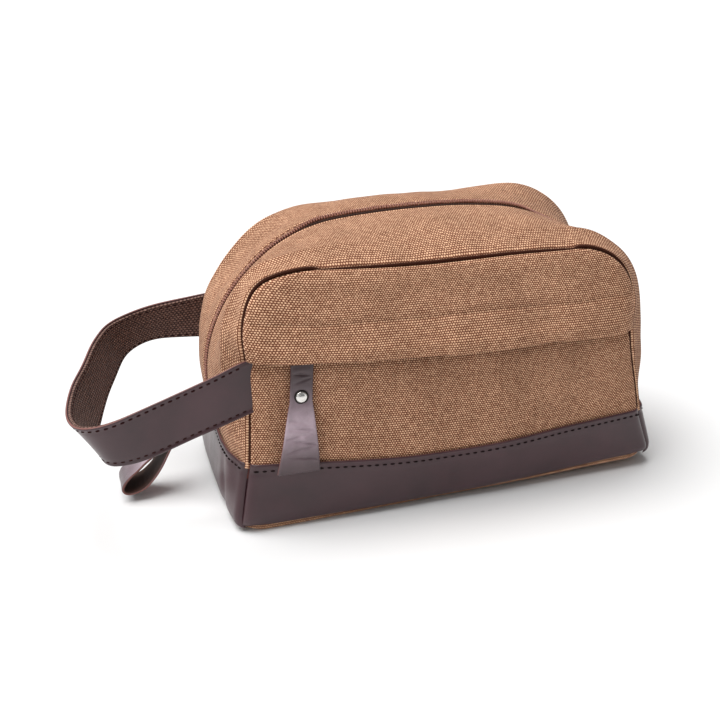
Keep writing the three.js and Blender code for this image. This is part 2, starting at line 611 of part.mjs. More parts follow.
const POCKET_PLATE_HALF = 4.3;   // half length of the slider's plates
const POCKET_PLATE_TALL = 4.2;   // half height of them
const POCKET_PLATE_OUT = [-0.5, 0.5];
const POCKET_PLATE_IN = [-4.2, -3.3];
const POCKET_FLANGE = 0.9;
const POCKET_WEDGE = 1.4;
const POCKET_WEDGE_HALF = 0.4;
const POCKET_LUG_HALF = 1.6;
const POCKET_BORE = 1.4;         // size of the lug's square tunnel
const pocketBarY = POCKET_RADIUS - pocketCrest
  - Math.sqrt((POCKET_RADIUS + POCKET_BAR_OUT) ** 2 - POCKET_SLIDER_X ** 2);

function pocketSlider() {
  const left = POCKET_SLIDER_X - POCKET_PLATE_HALF;
  const right = POCKET_SLIDER_X + POCKET_PLATE_HALF;
  const low = POCKET_ZIP_Z - POCKET_PLATE_TALL;
  const high = POCKET_ZIP_Z + POCKET_PLATE_TALL;
  const innerTop = POCKET_PLATE_IN[1] - MERGE / 2;
  const outerLow = POCKET_PLATE_OUT[0] + MERGE / 2;
  const block = (...sizes) => solid(pocketBlock(...sizes));
  let body = block(left, right, ...POCKET_PLATE_OUT, low, high)
    .add(block(left, right, ...POCKET_PLATE_IN, low, high));
  for (const [from, to] of [[low, low + POCKET_FLANGE], [high - POCKET_FLANGE, high]]) {
    body = body
      .add(block(left, right, POCKET_TAPE_OUT + GAP, outerLow, from, to))
      .add(block(left, right, innerTop, POCKET_TAPE_IN - GAP, from, to));
  }
  const wedge = block(right - POCKET_WEDGE, right, innerTop, outerLow,
    POCKET_ZIP_Z - POCKET_WEDGE_HALF, POCKET_ZIP_Z + POCKET_WEDGE_HALF);
  const lug = block(POCKET_SLIDER_X - POCKET_LUG_HALF, POCKET_SLIDER_X + POCKET_LUG_HALF,
    POCKET_PLATE_OUT[1] - MERGE / 2, POCKET_BAR_OUT + 1,
    POCKET_LUG_Z - POCKET_LUG_HALF, POCKET_LUG_Z + POCKET_LUG_HALF);
  const tunnel = new THREE.BoxGeometry(5 * POCKET_LUG_HALF, POCKET_BORE, POCKET_BORE)
    .translate(POCKET_SLIDER_X, pocketBarY, POCKET_LUG_Z);
  return body.add(wedge).add(lug).subtract(solid(tunnel));
}

const POCKET_WIRE = 0.4;
const POCKET_WRAP = 1.26;        // outer radius of the leather round the ring
const POCKET_PULL_HALF = 1;
const POCKET_NARROW = 12.6;
const POCKET_WIDE = 24;
const POCKET_RIVET_AT = 17;

function pocketPull() {
  const stations = [
    [2.4, POCKET_PULL_HALF], [22, POCKET_PULL_HALF], [POCKET_PULL_LENGTH - 1, POCKET_PULL_HALF],
    [POCKET_PULL_LENGTH, 0],
  ];
  const width = flare(POCKET_NARROW, POCKET_WIDE, 20, POCKET_PULL_LENGTH);
  const pull = foldedPull(POCKET_WRAP, POCKET_WIRE + GAP, stations, [], width);
  return solid(pull).subtract(rivetHole(POCKET_RIVET_AT));
}

// Sets a shape drawn along (length, width, thickness) so it hangs down the front.
function hanging(geometry, tilt, z) {
  return geometry.rotateX(Math.PI / 2).rotateY(Math.PI / 2).rotateX(-radians(tilt))
    .translate(POCKET_SLIDER_X, pocketBarY, z);
}

add('pocket_slider', geometryOf(pocketSlider()), NICKEL);
const pocketRing = ring(POCKET_LUG_Z - POCKET_BAR_Z, POCKET_NARROW + 2.4, POCKET_WIRE);
add('pocket_bail', hanging(pocketRing, 0, POCKET_LUG_Z), NICKEL);
add('pocket_pull', hanging(geometryOf(pocketPull()), POCKET_PULL_TILT, POCKET_BAR_Z), DARK_LEATHER);
const pocketRivet = rivet(2 * POCKET_PULL_HALF + GAP).translate(POCKET_RIVET_AT, 0, 0);
add('pocket_pull_rivet', hanging(pocketRivet, POCKET_PULL_TILT, POCKET_BAR_Z), NICKEL);

// ---------------------------------------------------------------- wrist strap
const STRAP_CELLS = 40;
const strapPoints = STRAP_PATH.map((point) => new THREE.Vector3(...point));
const strapCurve = new THREE.CatmullRomCurve3(strapPoints, false, 'centripetal');

// The strap's ends narrow to a tongue, so the loop can turn beside the seam that holds it.
function strapTaper(u) {
  const fromEnd = Math.min(u, 1 - u) * strapCurve.getLength();
  return Math.min(1, lerp(STRAP_ROOT_WIDTH, 1, fromEnd / STRAP_TAPER));
}

function strapLayer(outer, inner, fullWidth) {
  return mappedBox(STRAP_CELLS, 1, (u, v, w) => {
    const width = fullWidth * strapTaper(u);
    const centre = strapCurve.getPointAt(u);
    const along = strapCurve.getTangentAt(u);
    const length = Math.hypot(along.x, along.y);
    const out = lerp(inner, outer, w) / length;
    return [centre.x - along.y * out, centre.y + along.x * out, centre.z + (v - 0.5) * width];
  });
}

add('strap_leather', strapLayer(LEATHER, 0, STRAP_WIDTH), DARK_LEATHER);
add('strap_webbing', strapLayer(-STRAP_GAP, -STRAP_GAP - LEATHER, STRAP_WIDTH - 1.5), WEBBING);

export default bag;
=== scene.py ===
import json
import math
import bpy
import numpy as np
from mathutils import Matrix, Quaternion, Vector, noise


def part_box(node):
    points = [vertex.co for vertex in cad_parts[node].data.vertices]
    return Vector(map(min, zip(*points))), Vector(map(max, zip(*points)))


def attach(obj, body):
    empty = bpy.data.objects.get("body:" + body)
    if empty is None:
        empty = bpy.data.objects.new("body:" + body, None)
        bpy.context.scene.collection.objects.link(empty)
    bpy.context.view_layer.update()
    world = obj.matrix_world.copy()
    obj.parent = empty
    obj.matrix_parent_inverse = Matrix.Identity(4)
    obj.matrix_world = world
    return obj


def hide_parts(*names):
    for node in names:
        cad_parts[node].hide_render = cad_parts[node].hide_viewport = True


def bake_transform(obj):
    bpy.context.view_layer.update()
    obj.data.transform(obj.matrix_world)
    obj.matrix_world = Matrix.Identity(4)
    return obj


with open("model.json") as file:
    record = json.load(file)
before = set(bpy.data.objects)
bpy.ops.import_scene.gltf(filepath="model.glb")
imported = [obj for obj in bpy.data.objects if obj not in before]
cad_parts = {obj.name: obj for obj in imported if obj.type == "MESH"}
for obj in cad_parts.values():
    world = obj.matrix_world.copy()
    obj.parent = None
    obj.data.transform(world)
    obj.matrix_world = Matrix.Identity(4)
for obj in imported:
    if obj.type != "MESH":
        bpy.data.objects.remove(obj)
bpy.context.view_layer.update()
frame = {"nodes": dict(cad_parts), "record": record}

# A canvas and leather shaving kit bag. Lengths are in millimetres until a mesh is made, in the
# CAD model's frame: +X along the bag, -Y to the front, +Z up.
MM = 0.001


def cad(node):
    """A CAD node's lowest and highest corner, in millimetres."""
    low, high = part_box(node)
    return np.array(low) / MM, np.array(high) / MM


# ---------------------------------------------------------------- driving sizes
HEIGHT = cad("back_panel")[1][2]              # the front and back top seams
BAND_TOP = cad("leather_band_front")[1][2]    # top edge of the leather
FLAP_EDGE = cad("front_yoke")[0][2]           # lower edge of the pocket flap
PANEL_HALF = cad("front_yoke")[1][0]          # seam half length above the flap's edge
MOUTH_HALF = cad("gusset_top_front")[1][0] + 0.3
CREST = cad("gusset_top_front")[1][2]         # the zip's highest point
BASE_HALF = 128.6
BAND_HALF = 120.5
BASE_DEPTH = 66.0
TOP_DEPTH = 62.0
END_BASE_HALF = 130.5
BULGE = 10.0                                  # how far a filled panel swells
ZIP_X, ZIP_Z, ZIP_R = 42.0, 70.0, 89.5        # the zip's corner arcs
CORNER = PANEL_HALF - MOUTH_HALF              # radius of the panels' top corners
SIDE_TOP = HEIGHT - CORNER
CORNER_RUN = CORNER * math.pi / 2
SIDE_RUN = SIDE_TOP + CORNER_RUN              # seam length from the table to the mouth's end
HALF_RUN = SIDE_RUN + MOUTH_HALF              # and on to the middle of the top
CANVAS = 1.3                                  # cloth thickness
HIDE = 1.3                                    # leather thickness
SEAM = 2.2                                    # how deep the turned seams lie
BAND_FOOT = 3.4                               # lower edge of the leather
LINING_CLOTH_THICK = 0.5
FLAP_STITCH = 119.0                           # height of the stitching above the flap
ZIP_FOLD = 4.8                                # half width between the cloth's folded edges
ZIP_STITCH_IN = 2.4                           # from the folded edge
BAND_OFF = 0.35                               # how far the leather stands off the canvas
BAND_STITCH_DROP = 4.2                        # below the band's top edge


# ---------------------------------------------------------------- the bag's form
def lerp(a, b, t):
    return a + (b - a) * t


def bell(distance, width):
    """1 at distance 0, falling smoothly to nothing over about two widths."""
    return np.exp(-(distance / width) ** 2)


def half_depth(z):
    return lerp(BASE_DEPTH, TOP_DEPTH, np.asarray(z) / HEIGHT)


def side_half(z):
    """Half length of the side seams below the top corners."""
    low = lerp(BASE_HALF, BAND_HALF, z / BAND_TOP)
    middle = lerp(BAND_HALF, PANEL_HALF, (z - BAND_TOP) / (FLAP_EDGE - BAND_TOP))
    return np.where(z < BAND_TOP, low, np.where(z < FLAP_EDGE, middle, PANEL_HALF))


def rim(run, inset=0.0):
    """Half length and height of a panel's outline, at distance run along its seam."""
    run = np.asarray(run, float)
    turn = np.clip((run - SIDE_TOP) / CORNER, 0, math.pi / 2)
    radius = CORNER - inset
    half = np.where(run < SIDE_TOP, side_half(run) - inset, MOUTH_HALF + radius * np.cos(turn))
    height = np.where(run < SIDE_TOP, run, SIDE_TOP + radius * np.sin(turn))
    return half, height


def run_at(height):
    """Distance along the side seam at a height."""
    turn = math.asin(min(max(height - SIDE_TOP, 0.0) / CORNER, 1.0))
    return min(height, SIDE_TOP) + CORNER * turn


TOP_GAP = CREST - ZIP_Z - ZIP_R
TOP_DROP = (ZIP_X ** 2 - TOP_GAP ** 2) / (2 * TOP_GAP)
TOP_R = TOP_DROP + CREST - ZIP_Z
TOP_EDGE = ZIP_X * (1 + ZIP_R / math.hypot(ZIP_X, TOP_DROP))


def crest_height(x):
    """Height of the zip's line over the top: a flat arc between the two corner arcs."""
    span = np.abs(x)
    top = CREST - TOP_R + np.sqrt(TOP_R ** 2 - np.minimum(span, TOP_EDGE) ** 2)
    side = ZIP_Z + np.sqrt(np.maximum(ZIP_R ** 2 - np.maximum(span - ZIP_X, 0) ** 2, 0))
    return np.where(span < TOP_EDGE, top, side)


def crest_half(z):
    """Half length of the zip's line down the ends."""
    at_band = ZIP_X + math.sqrt(ZIP_R ** 2 - (BAND_TOP - ZIP_Z) ** 2)
    arc = ZIP_X + np.sqrt(np.maximum(ZIP_R ** 2 - (z - ZIP_Z) ** 2, 0))
    return np.where(z < BAND_TOP, lerp(END_BASE_HALF, at_band, z / BAND_TOP), arc)


LOW_SLOPE = math.asin((SIDE_TOP - ZIP_Z) / ZIP_R)
HIGH_SLOPE = math.acos((MOUTH_HALF - ZIP_X) / ZIP_R)


def rib(run):
    """The gusset's left half in the XZ plane, at distance run along the seam: the seam's point,
    the zip's point, and the outward direction at each."""
    run = np.asarray(run, float)
    half, height = rim(run)
    t = np.clip((run - SIDE_TOP) / CORNER_RUN, 0, 1)
    turn = t * math.pi / 2
    slope = lerp(LOW_SLOPE, HIGH_SLOPE, t)
    level = np.arcsin(np.clip((height - ZIP_Z) / ZIP_R, -0.4, 1))
    lean = np.where(run < SIDE_TOP, level, lerp(LOW_SLOPE, math.pi / 2, t))
    seam_x = np.where(run > SIDE_RUN, HALF_RUN - run, half)
    crest_x = np.where(run < SIDE_TOP, crest_half(height), ZIP_X + ZIP_R * np.cos(slope))
    crest_x = np.where(run > SIDE_RUN, HALF_RUN - run, crest_x)
    crest_z = np.where(run < SIDE_TOP, height, ZIP_Z + ZIP_R * np.sin(slope))
    crest_z = np.where(run > SIDE_RUN, crest_height(HALF_RUN - run), crest_z)
    seam_out = (-np.cos(turn), np.sin(turn))
    crest_out = (-np.cos(lean), np.sin(lean))
    return (-seam_x, height), (-crest_x, crest_z), seam_out, crest_out


# The bag is soft and half full, so it has settled out of square. Each row pushes the cloth
# round a place by a move: (place, reach, move), each (x, y, z).
SETTLED = [
    ((-10, -74, 41), (80, 60, 20), (0, -1, -5.5)),      # the leather's edge dips at the front
    ((116, -66, 92), (70, 45, 34), (-4.5, 0, -5.5)),    # the flap droops to the right
    ((0, -76, 98), (60, 30, 25), (0, 0, -2.5)),
    ((-118, -64, 110), (24, 30, 24), (-3.5, 0, 2.5)),
    ((-10, -62, 150), (62, 28, 20), (0, 0, -4.5)),      # the front top seam sinks
    ((78, -62, 148), (38, 28, 24), (0, 0, -3)),
    ((-106, -62, 138), (18, 30, 18), (-4.5, 0, 4.5)),   # its left corner stands up
    ((130, -66, 0), (85, 60, 26), (3, 3, 5.5)),         # the right front corner lifts
    ((-128, -66, 0), (80, 50, 28), (0, -4, 0)),
    ((-108, 52, 132), (42, 42, 38), (6.5, 0, -5)),      # the rear left corner falls in
    ((82, 58, 150), (34, 36, 26), (2, 0, 4.5)),         # the rear right corner stands up
    ((130, -22, 100), (30, 50, 52), (4, 0, 0)),         # the right end is fuller
    ((88, 0, 150), (32, 22, 26), (2, 0, -4)),
]


def settle(points):
    """Where points of the regular form lie on the settled bag."""
    moved = np.array(points, float)
    for place, reach, move in SETTLED:
        away = (points - np.array(place, float)) / np.array(reach, float)
        share = np.exp(-(away ** 2).sum(axis=-1))
        moved += share[..., None] * np.array(move, float)
    moved[..., 2] = np.maximum(moved[..., 2], 0.0)
    return moved


class Patch:
    """A grid of points over (u, v), with the normals that point out of the bag."""

    def __init__(self, u, v, points, outward):
        self.u, self.v, self.points = u, v, settle(points)
        du = np.gradient(self.points, u, axis=0)
        dv = np.gradient(self.points, v, axis=1)
        normal = np.cross(du, dv)
        normal /= np.linalg.norm(normal, axis=2, keepdims=True) + 1e-12
        self.normals = normal * np.sign((normal * outward).sum(axis=2, keepdims=True))

    def sample(self, grid, u, v):
        u, v = np.broadcast_arrays(np.asarray(u, float), np.asarray(v, float))
        i = np.clip(np.interp(u, self.u, np.arange(len(self.u))), 0, len(self.u) - 1.001)
        j = np.clip(np.interp(v, self.v, np.arange(len(self.v))), 0, len(self.v) - 1.001)
        a, b = i.astype(int), j.astype(int)
        s, t = (i - a)[..., None], (j - b)[..., None]
        low = grid[a, b] * (1 - s) + grid[a + 1, b] * s
        high = grid[a, b + 1] * (1 - s) + grid[a + 1, b + 1] * s
        return low * (1 - t) + high * t

    def normal(self, u, v):
        normal = self.sample(self.normals, u, v)
        return normal / (np.linalg.norm(normal, axis=-1, keepdims=True) + 1e-12)

    def at(self, u, v, out=0.0):
        out = np.asarray(out, float)[..., None]
        return self.sample(self.points, u, v) + self.normal(u, v) * out


def soft_noise(points, scale, seed):
    """Smooth noise at each point, one value each, from -1 to 1."""
    flat = points.reshape(-1, 3) / scale
    values = [noise.noise(Vector((p[0] + seed, p[1], p[2]))) for p in flat]
    return np.array(values).reshape(points.shape[:-1])


def swell(z):
    t = np.clip(z / HEIGHT, 0, 1)
    return 4 * t * (1 - t)


def panel_patch(side):
    """The front (side -1) or back (side 1) panel: u from -1 to 1 across, v along the seam."""
    u = np.linspace(-1, 1, 121)
    v = np.concatenate([np.linspace(0, SIDE_TOP, 54), np.linspace(SIDE_TOP, SIDE_RUN, 40)[1:]])
    across, run = np.meshgrid(u, v, indexing="ij")
    half, z = rim(run, SEAM)
    out = half_depth(z) + BULGE * swell(z) * (1 - across ** 2)
    points = np.stack([across * half, side * out, z], axis=-1)
    wave = soft_noise(points, 52.0, 3.0 + side) * 1.7 + soft_noise(points, 22.0, 9.0 + side) * 0.6
    free = (1 - across ** 8) * np.clip(z / 20, 0, 1) * np.clip((HEIGHT - z) / 10, 0, 1)
    points[..., 1] += side * wave * free
    return Patch(u, v, points, np.array([0.0, side, 0.0]))


RIDGE = 0.76                                  # where the gusset's fold runs, between zip and seam


def gusset_patch(end):
    """The gusset's half at one end (-1 left, 1 right): u along the seam from the table to the
    middle of the top, v across from the front seam (-1) to the rear seam (1)."""
    u = np.concatenate([np.linspace(0, SIDE_RUN, 120), np.linspace(SIDE_RUN, HALF_RUN, 45)[1:]])
    v = np.linspace(-1, 1, 141)
    run, across = np.meshgrid(u, v, indexing="ij")
    seam, crest, seam_out, crest_out = rib(run)
    reach = np.abs(across)
    rise = 1 - reach ** 3
    nx = lerp(seam_out[0], crest_out[0], rise)
    nz = lerp(seam_out[1], crest_out[1], rise)
    length = np.hypot(nx, nz)
    depth = across * (half_depth(seam[1]) - SEAM)
    points = np.stack([lerp(seam[0], crest[0], rise), depth, lerp(seam[1], crest[1], rise)], axis=-1)
    points[..., 0] *= -end
    # A fold runs round the corner beside the zip, and the cloth is full between it and the seam.
    corner = bell(run - SIDE_TOP - 0.35 * CORNER_RUN, 48.0)
    ridge = corner * (4.6 * np.exp(-np.abs(reach - RIDGE) / 0.09) - 2.0 * bell(reach - 0.42, 0.13))
    full = (0.8 + 1.6 * corner) * np.sin(math.pi * reach ** 1.6)
    wave = soft_noise(points, 38.0, 21.0) * 1.4 + soft_noise(points, 17.0, 33.0) * 0.6
    free = (1 - reach ** 12) * (1 - bell(across, 0.24)) * np.clip(run / 25, 0, 1)
    out = (ridge + full + wave) * free
    points[..., 0] -= end * nx / length * out
    points[..., 2] += nz / length * out
    return Patch(u, v, points, np.stack([-end * nx, np.zeros_like(nx), nz], axis=-1))


FRONT = panel_patch(-1)
BACK = panel_patch(1)
GUSSET = {-1: gusset_patch(-1), 1: gusset_patch(1)}


def seam_line(side, end, run):
    """The sunk line where a panel meets the gusset."""
    run = np.asarray(run, float)
    share = np.clip((HALF_RUN - run) / MOUTH_HALF, 0, 1)
    return (FRONT if side < 0 else BACK).at(end * share, np.minimum(run, SIDE_RUN), -SEAM)


# ---------------------------------------------------------------- mesh building
def mesh_object(name, verts, faces, material, uvs=None):
    """A new object from millimetre points. uvs are per vertex, in millimetres."""
    mesh = bpy.data.meshes.new(name)
    mesh.from_pydata((np.asarray(verts) * MM).tolist(), [], faces)
    mesh.validate()
    if uvs is not None:
        layer = mesh.uv_layers.new(name="weave")
        index = np.zeros(len(mesh.loops), int)
        mesh.loops.foreach_get("vertex_index", index)
        layer.data.foreach_set("uv", np.asarray(uvs, float)[index].ravel())
    mesh.polygons.foreach_set("use_smooth", [True] * len(mesh.polygons))
    made = bpy.data.objects.new(name, mesh)
    bpy.context.scene.collection.objects.link(made)
    mesh.materials.append(material)
    return made


def grid_faces(n, m, start=0, flip=False):
    i, j = np.meshgrid(np.arange(n - 1), np.arange(m - 1), indexing="ij")
    a = (start + i * m + j).ravel()
    quads = np.stack([a, a + m, a + m + 1, a + 1], axis=1)
    return (quads[:, ::-1] if flip else quads).tolist()


def ring_faces(rings, sides, capped=True):
    """Faces between closed rings of points, and over the first and last ring."""
    faces = []
    for k in range(rings - 1):
        for i in range(sides):
            j = (i + 1) % sides
            faces.append([k * sides + i, k * sides + j, (k + 1) * sides + j, (k + 1) * sides + i])
    if capped:
        faces.append(list(range(sides))[::-1])
        faces.append([(rings - 1) * sides + i for i in range(sides)])
    return faces


def slab(name, outer, inner, uv, material, flip=False, edge=None, open_end=False, edge_above=0.0):
    """A closed sheet between two grids of points of the same shape (n, m, 3). edge is the
    material of its rim above edge_above. open_end leaves the last row open, where a twin goes on."""
    n, m = outer.shape[:2]
    verts = np.concatenate([outer.reshape(-1, 3), inner.reshape(-1, 3)])
    faces = grid_faces(n, m, 0, flip) + grid_faces(n, m, n * m, not flip)
    last = [(n - 1) * m + j for j in range(m)]
    loop = [i * m for i in range(n - 1)] + last + [i * m + m - 1 for i in range(n - 2, -1, -1)]
    loop += [j for j in range(m - 2, 0, -1)]
    cloth = len(faces)
    for a, b in zip(loop, loop[1:] + loop[:1]):
        if open_end and a >= last[0] and b >= last[0]:
            continue
        quad = [a, a + n * m, b + n * m, b]
        faces.append(quad[::-1] if flip else quad)
    uvs = np.concatenate([uv.reshape(-1, 2)] * 2)
    made = mesh_object(name, verts, faces, material, uvs)
    if edge:
        made.data.materials.append(edge)
        rim_faces = [0] * cloth + [int(verts[f[0]][2] > edge_above) for f in faces[cloth:]]
        made.data.polygons.foreach_set("material_index", rim_faces)
    return made


def fold(distance, radius):
    """Half thickness of a folded edge, as a share: 0 at the edge and 1 a radius away."""
    t = np.clip(distance / radius, 0, 1)
    return np.sqrt(1 - (1 - t) ** 2)


def roll(distance, radius, depth):
    """How far a turned seam pulls the cloth in, at a distance from the seam: a quarter round."""
    t = np.clip(1 - distance / radius, 0, 1)
    return depth * (np.sqrt(1 - t ** 2) - 1)


def edge_lines(low, high, step, fine=(0.0, 0.35, 0.8, 1.5, 2.4), ends=(True, True)):
    """Grid lines between two limits, closer together beside the ends."""
    lines = list(np.linspace(low, high, max(int((high - low) / step), 2) + 1))
    if ends[0]:
        lines += [low + f for f in fine]
    if ends[1]:
        lines += [high - f for f in fine]
    lines = np.array(sorted(lines))
    return lines[np.concatenate([[True], np.diff(lines) > 1e-4])]


def tangents(points):
    """Unit tangents of a polyline."""
    tangent = np.gradient(points, axis=0)
    return tangent / np.linalg.norm(tangent, axis=1, keepdims=True)


def lengths_along(points):
    return np.concatenate([[0], np.cumsum(np.linalg.norm(np.diff(points, axis=0), axis=1))])


def evenly(points, normals, pitch, start=0.0):
    """Points, normals and tangents at even steps along a polyline."""
    run = lengths_along(points)
    at = np.arange(start, run[-1], pitch)
    pick = lambda values: np.stack([np.interp(at, run, values[:, k]) for k in range(3)], axis=1)
    tangent = pick(tangents(points))
    normal = pick(normals)
    normal /= np.linalg.norm(normal, axis=1, keepdims=True)
    tangent /= np.linalg.norm(tangent, axis=1, keepdims=True)
    return pick(points), normal, tangent


def beads(name, centres, along, up, size, material, sides=8, rings=5, lift=0.0, bow=0.0):
    """Rounded bars, one at each centre. size is (length, width, height)."""
    side = np.cross(up, along)
    length, width, height = size
    verts, faces = [], []
    ring_t = np.linspace(-1, 1, rings)
    grow = np.sqrt(np.clip(1 - ring_t ** 4, 0.02, 1))
    angles = np.linspace(0, 2 * math.pi, sides, endpoint=False)
    base = np.array([(t, math.cos(a) * g, math.sin(a) * g)
                     for t, g in zip(ring_t, grow) for a in angles])
    bead_faces = ring_faces(rings, sides)
    for c, a, u, s in zip(centres, along, up, side):
        start = len(verts)
        sag = -bow * base[:, 0] ** 2
        place = (c + np.outer(base[:, 0] * length / 2, a) + np.outer(base[:, 1] * width / 2, s)
                 + np.outer(base[:, 2] * height / 2 + lift + sag, u))
        verts.extend(place)
        faces.extend([[start + i for i in f] for f in bead_faces])
    return mesh_object(name, np.array(verts), faces, material)


def stitches(name, points, normals, material, length=3.0, gap=1.2, thick=0.75, start=2.0):
    """A row of thread stitches lying on a line, each with its ends sunk."""
    centres, up, along = evenly(points, normals, length + gap, start)
    size = (length, thick, thick)
    return beads(name, centres, along, up, size, material, 6, lift=thick * 0.1, bow=thick * 0.55)


# ---------------------------------------------------------------- materials
class Graph:
    """Short calls for building a material's nodes."""

    def __init__(self, name):
        self.material = bpy.data.materials.new(name)
        self.material.use_nodes = True
        self.nodes = self.material.node_tree.nodes
        self.links = self.material.node_tree.links
        self.shader = self.nodes["Principled BSDF"]

    def node(self, kind, **settings):
        made = self.nodes.new(kind)
        for key, value in settings.items():
            setattr(made, key, value)
        return made

    def plug(self, value, socket):
        if isinstance(value, bpy.types.NodeSocket):
            self.links.new(value, socket)
        else:
            socket.default_value = value

    def math(self, operation, a, b=0.0, c=0.0):
        made = self.node("ShaderNodeMath", operation=operation)
        for value, socket in zip((a, b, c), made.inputs):
            self.plug(value, socket)
        return made.outputs[0]

    def noise(self, vector, scale, detail=3.0, roughness=0.55):
        made = self.node("ShaderNodeTexNoise")
        self.plug(vector, made.inputs["Vector"])
        made.inputs["Scale"].default_value = scale
        made.inputs["Detail"].default_value = detail
        made.inputs["Roughness"].default_value = roughness
        return made.outputs["Fac"]

    def ramp(self, value, stops):
        made = self.node("ShaderNodeValToRGB")
        self.plug(value, made.inputs[0])
        elements = made.color_ramp.elements
        while len(elements) < len(stops):
            elements.new(0.5)
        for element, (position, colour) in zip(elements, stops):
            element.position = position
            element.color = (*colour, 1.0)
        return made.outputs["Color"]

    def mix(self, factor, a, b, blend="MIX"):
        made = self.node("ShaderNodeMix", data_type="RGBA", blend_type=blend)
        self.plug(factor, made.inputs["Factor"])
        for value, socket in ((a, made.inputs[6]), (b, made.inputs[7])):
            self.plug((*value, 1.0) if isinstance(value, tuple) and len(value) == 3 else value, socket)
        return made.outputs[2]

    def bump(self, height, strength, distance):
        """Relief on the surface, from a height."""
        made = self.node("ShaderNodeBump")
        made.inputs["Strength"].default_value = strength
        made.inputs["Distance"].default_value = distance
        self.plug(height, made.inputs["Height"])
        self.links.new(made.outputs[0], self.shader.inputs["Normal"])

    def uv(self):
        made = self.node("ShaderNodeUVMap", uv_map="weave")
        split = self.node("ShaderNodeSeparateXYZ")
        self.links.new(made.outputs[0], split.inputs[0])
        return made.outputs[0], split.outputs[0], split.outputs[1]

    def place(self):
        return self.node("ShaderNodeTexCoord").outputs["Object"]

    def set(self, **values):
        for key, value in values.items():
            self.plug(value, self.shader.inputs[key.replace("_", " ").title().replace("Ior", "IOR")])


def srgb(r, g, b):
    """A colour named as on a screen, 0 to 255, as linear light."""
    levels = (r / 255, g / 255, b / 255)
    return tuple(c / 12.92 if c <= 0.04045 else ((c + 0.055) / 1.055) ** 2.4 for c in levels)


CROWN_FALL = 1.75                             # how fast a yarn's crown darkens to its gap


def woven(name, tones, pitch, rows, speck=0.5, slant=0.5, relief=0.25):
    """Woven cloth: round yarn crossings in staggered rows, each a little lighter or darker.
    tones are the gaps, the yarn and its crowns: the dark gaps are partly painted shade and the
    pale crowns partly a painted highlight; slant shifts each row along."""
    g = Graph(name)
    _, across, up = g.uv()
    place = g.place()
    wobble = g.math("MULTIPLY", g.math("SUBTRACT", g.noise(place, 240.0), 0.5), 0.35)
    drift = g.math("MULTIPLY", g.math("SUBTRACT", g.noise(place, 420.0, 2.0), 0.5), 0.5)
    v = g.math("ADD", g.math("DIVIDE", up, rows), wobble)
    row = g.math("FLOOR", v)
    u = g.math("ADD", g.math("DIVIDE", across, pitch), g.math("MULTIPLY", row, slant))
    u = g.math("ADD", u, drift)
    cell_u = g.math("SUBTRACT", g.math("FRACT", u), 0.5)
    cell_v = g.math("SUBTRACT", g.math("FRACT", v), 0.5)
    square = g.math("MULTIPLY", cell_v, cell_v)
    reach = g.math("SQRT", g.math("MULTIPLY_ADD", cell_u, cell_u, square))
    crown = g.math("MAXIMUM", g.math("MULTIPLY_ADD", reach, -CROWN_FALL, 1.0), 0.0)
    seed = g.node("ShaderNodeCombineXYZ")
    g.plug(g.math("FLOOR", u), seed.inputs[0])
    g.plug(row, seed.inputs[1])
    random = g.node("ShaderNodeTexWhiteNoise", noise_dimensions="2D")
    g.links.new(seed.outputs[0], random.inputs["Vector"])
    tone = g.math("MULTIPLY_ADD", random.outputs["Value"], speck, 1.0 - speck * 0.5)
    fibres = g.math("MULTIPLY_ADD", g.noise(place, 1300.0, 2.0), 0.5, 0.75)
    # Partly painted light: the crowns are coloured pale as a painted highlight, the gaps dark as painted
    # shade.
    lit = g.math("MULTIPLY", g.math("MULTIPLY", crown, tone), fibres)
    colour = g.ramp(lit, [(0.02, tones[0]), (0.3, tones[1]), (0.72, tones[2])])
    cloud = g.noise(place, 38.0, 4.0)
    shade = g.ramp(cloud, [(0.3, (0.86, 0.85, 0.84)), (0.7, (1.08, 1.08, 1.08))])
    colour = g.mix(1.0, colour, shade, "MULTIPLY")
    slubs = g.node("ShaderNodeMapping", vector_type="TEXTURE")
    g.plug(g.uv()[0], slubs.inputs["Vector"])
    slubs.inputs["Scale"].default_value = (5.0, 1.6, 1.0)
    uneven = g.math("MULTIPLY_ADD", g.noise(slubs.outputs[0], 1.0, 2.0), 0.5, 0.0)
    uneven = g.math("MULTIPLY_ADD", g.noise(place, 420.0, 2.0), 0.5, uneven)
    streaks = g.ramp(uneven, [(0.36, (0.84, 0.82, 0.8)), (0.64, (1.12, 1.12, 1.12))])
    colour = g.mix(1.0, colour, streaks, "MULTIPLY")
    g.set(base_color=colour, roughness=0.92, sheen_weight=0.04, specular_ior_level=0.15)
    height = g.math("MULTIPLY_ADD", g.noise(place, 1500.0), 0.35, crown)
    g.bump(height, 0.9, relief * MM)
    return g.material


